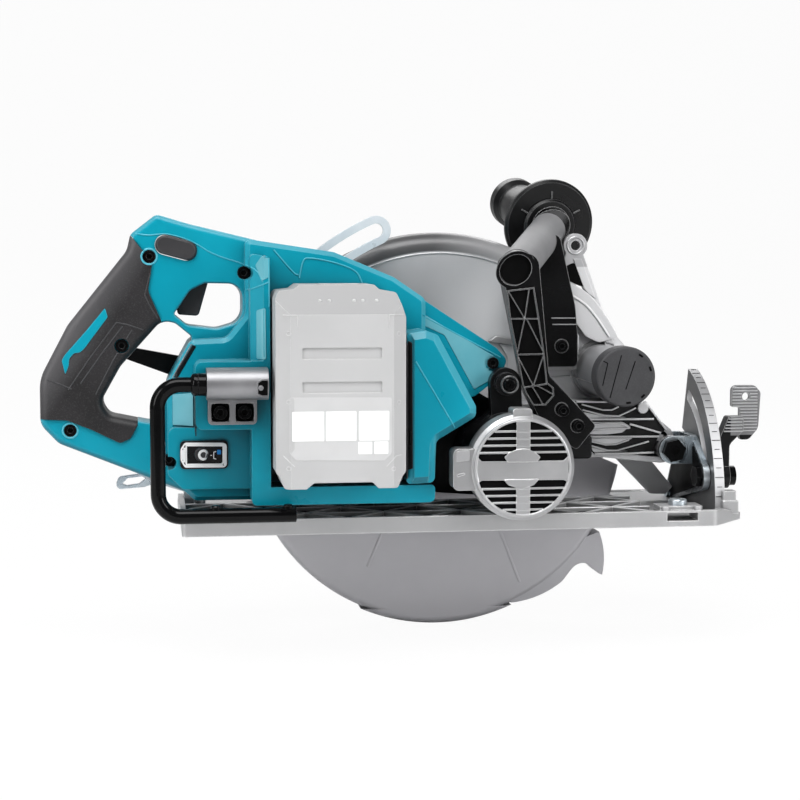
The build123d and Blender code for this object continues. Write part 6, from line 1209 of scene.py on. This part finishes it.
def blendShaders(tree, factor, first, second, output):
    blend = tree.nodes.new("ShaderNodeMixShader")
    for source, socket in zip((factor, first, second), blend.inputs):
        tree.links.new(source, socket)
    tree.links.new(blend.outputs["Shader"], tree.nodes[output].inputs["Surface"])


def placeAimed(holder, at, aim):
    holder.location = at
    holder.rotation_euler = (Vector(aim) - Vector(at)).to_track_quat("-Z", "Y").to_euler()
    scene.collection.objects.link(holder)


def makeStage():
    low = cadBox[0][2]
    reach, front, bendStart, bend = (stageLook[key] for key in ("reach", "front", "bendStart", "bend"))
    rows = []
    for step in range(stageLook["steps"] + 1):   # floor that curves up behind the saw
        share = step / stageLook["steps"]
        if share < 0.5:
            rows.append((front + share * 2 * (bendStart - front), low))
        else:
            sweep = (share - 0.5) * pi
            rows.append((bendStart + bend * sin(sweep), low + bend * (1 - cos(sweep))))
    wallY, wallHeight = stageLook["wall"]
    rows.append((wallY, low + wallHeight))
    verts = [(side, y, z) for y, z in rows for side in (-reach, reach)]
    faces = [(2 * i, 2 * i + 1, 2 * i + 3, 2 * i + 2) for i in range(len(rows) - 1)]
    mesh = bpy.data.meshes.new("floorSheet")
    mesh.from_pydata(verts, [], faces)
    mesh.shade_smooth()
    floor = bpy.data.objects.new("floorSheet", mesh)
    scene.collection.objects.link(floor)
    mat, tree, shader = newMaterial("floorPaper")
    shader.inputs["Roughness"].default_value = stageLook["rough"]
    paper = colourBetween(tree, grain(tree, stageLook["grain"]), *stageLook["floor"])
    tree.links.new(paper, shader.inputs["Base Color"])
    white = addNode(tree, "ShaderNodeEmission", Color=(1, 1, 1, 1), Strength=1.0)
    rays = tree.nodes.new("ShaderNodeLightPath").outputs       # white background, with the shadow kept
    seen = combined(tree, plainMath, "MAXIMUM", (rays["Is Camera Ray"], rays["Is Transmission Ray"]))
    share = spanned(tree, seen, 0.0, 1.0, 0.0, stageLook["whiteShare"])
    blendShaders(tree, share, shader.outputs["BSDF"], white.outputs["Emission"], "Material Output")
    mesh.materials.append(mat)


lamps = {
    "topPanel": {"at": (-0.3, -0.7, 1.6), "aim": (-0.02, 0, 0.08), "size": (1.5, 0.9), "power": 34},
    "leftPanel": {"at": (-1.7, -1.1, 0.7), "aim": (-0.05, 0, 0.08), "size": (0.5, 1.2), "power": 17},
    "rightPanel": {"at": (1.5, -1.3, 0.6), "aim": (0.05, 0, 0.08), "size": (0.6, 1.2), "power": 20},
    "backPanel": {"at": (0.3, 1.5, 1.3), "aim": (0, 0, 0.1), "size": (1.8, 0.8), "power": 14},
}
airLook = {"colour": (0.95, 0.97, 1.0), "level": 0.14}


def makeLight():
    for name, lamp in lamps.items():
        data = bpy.data.lights.new(name, "AREA")
        data.shape = "RECTANGLE"
        data.size, data.size_y = lamp["size"]
        data.energy = lamp["power"]
        placeAimed(bpy.data.objects.new(name, data), lamp["at"], lamp["aim"])
    world = bpy.data.worlds.new("studioAir")
    scene.world = world
    world.use_nodes = True
    tree = world.node_tree
    air = tree.nodes["Background"]
    air.inputs["Color"].default_value = (*airLook["colour"], 1)
    air.inputs["Strength"].default_value = airLook["level"]
    clear = addNode(tree, "ShaderNodeBackground", Color=(1, 1, 1, 1), Strength=1.0)
    seen = tree.nodes.new("ShaderNodeLightPath").outputs["Is Camera Ray"]
    blendShaders(tree, seen, air.outputs["Background"], clear.outputs["Background"], "World Output")


def makeCamera():
    data = bpy.data.cameras.new("studioCamera")
    data.lens = stageLook["lens"]
    data.sensor_width = stageLook["sensor"]
    data.clip_end = stageLook["farthest"]
    camera = bpy.data.objects.new("studioCamera", data)
    placeAimed(camera, stageLook["eye"], stageLook["aim"])
    scene.camera = camera


makeStage()
makeLight()
makeCamera()
scene.view_settings.view_transform = "Standard"
print("stage, lamps and camera set")
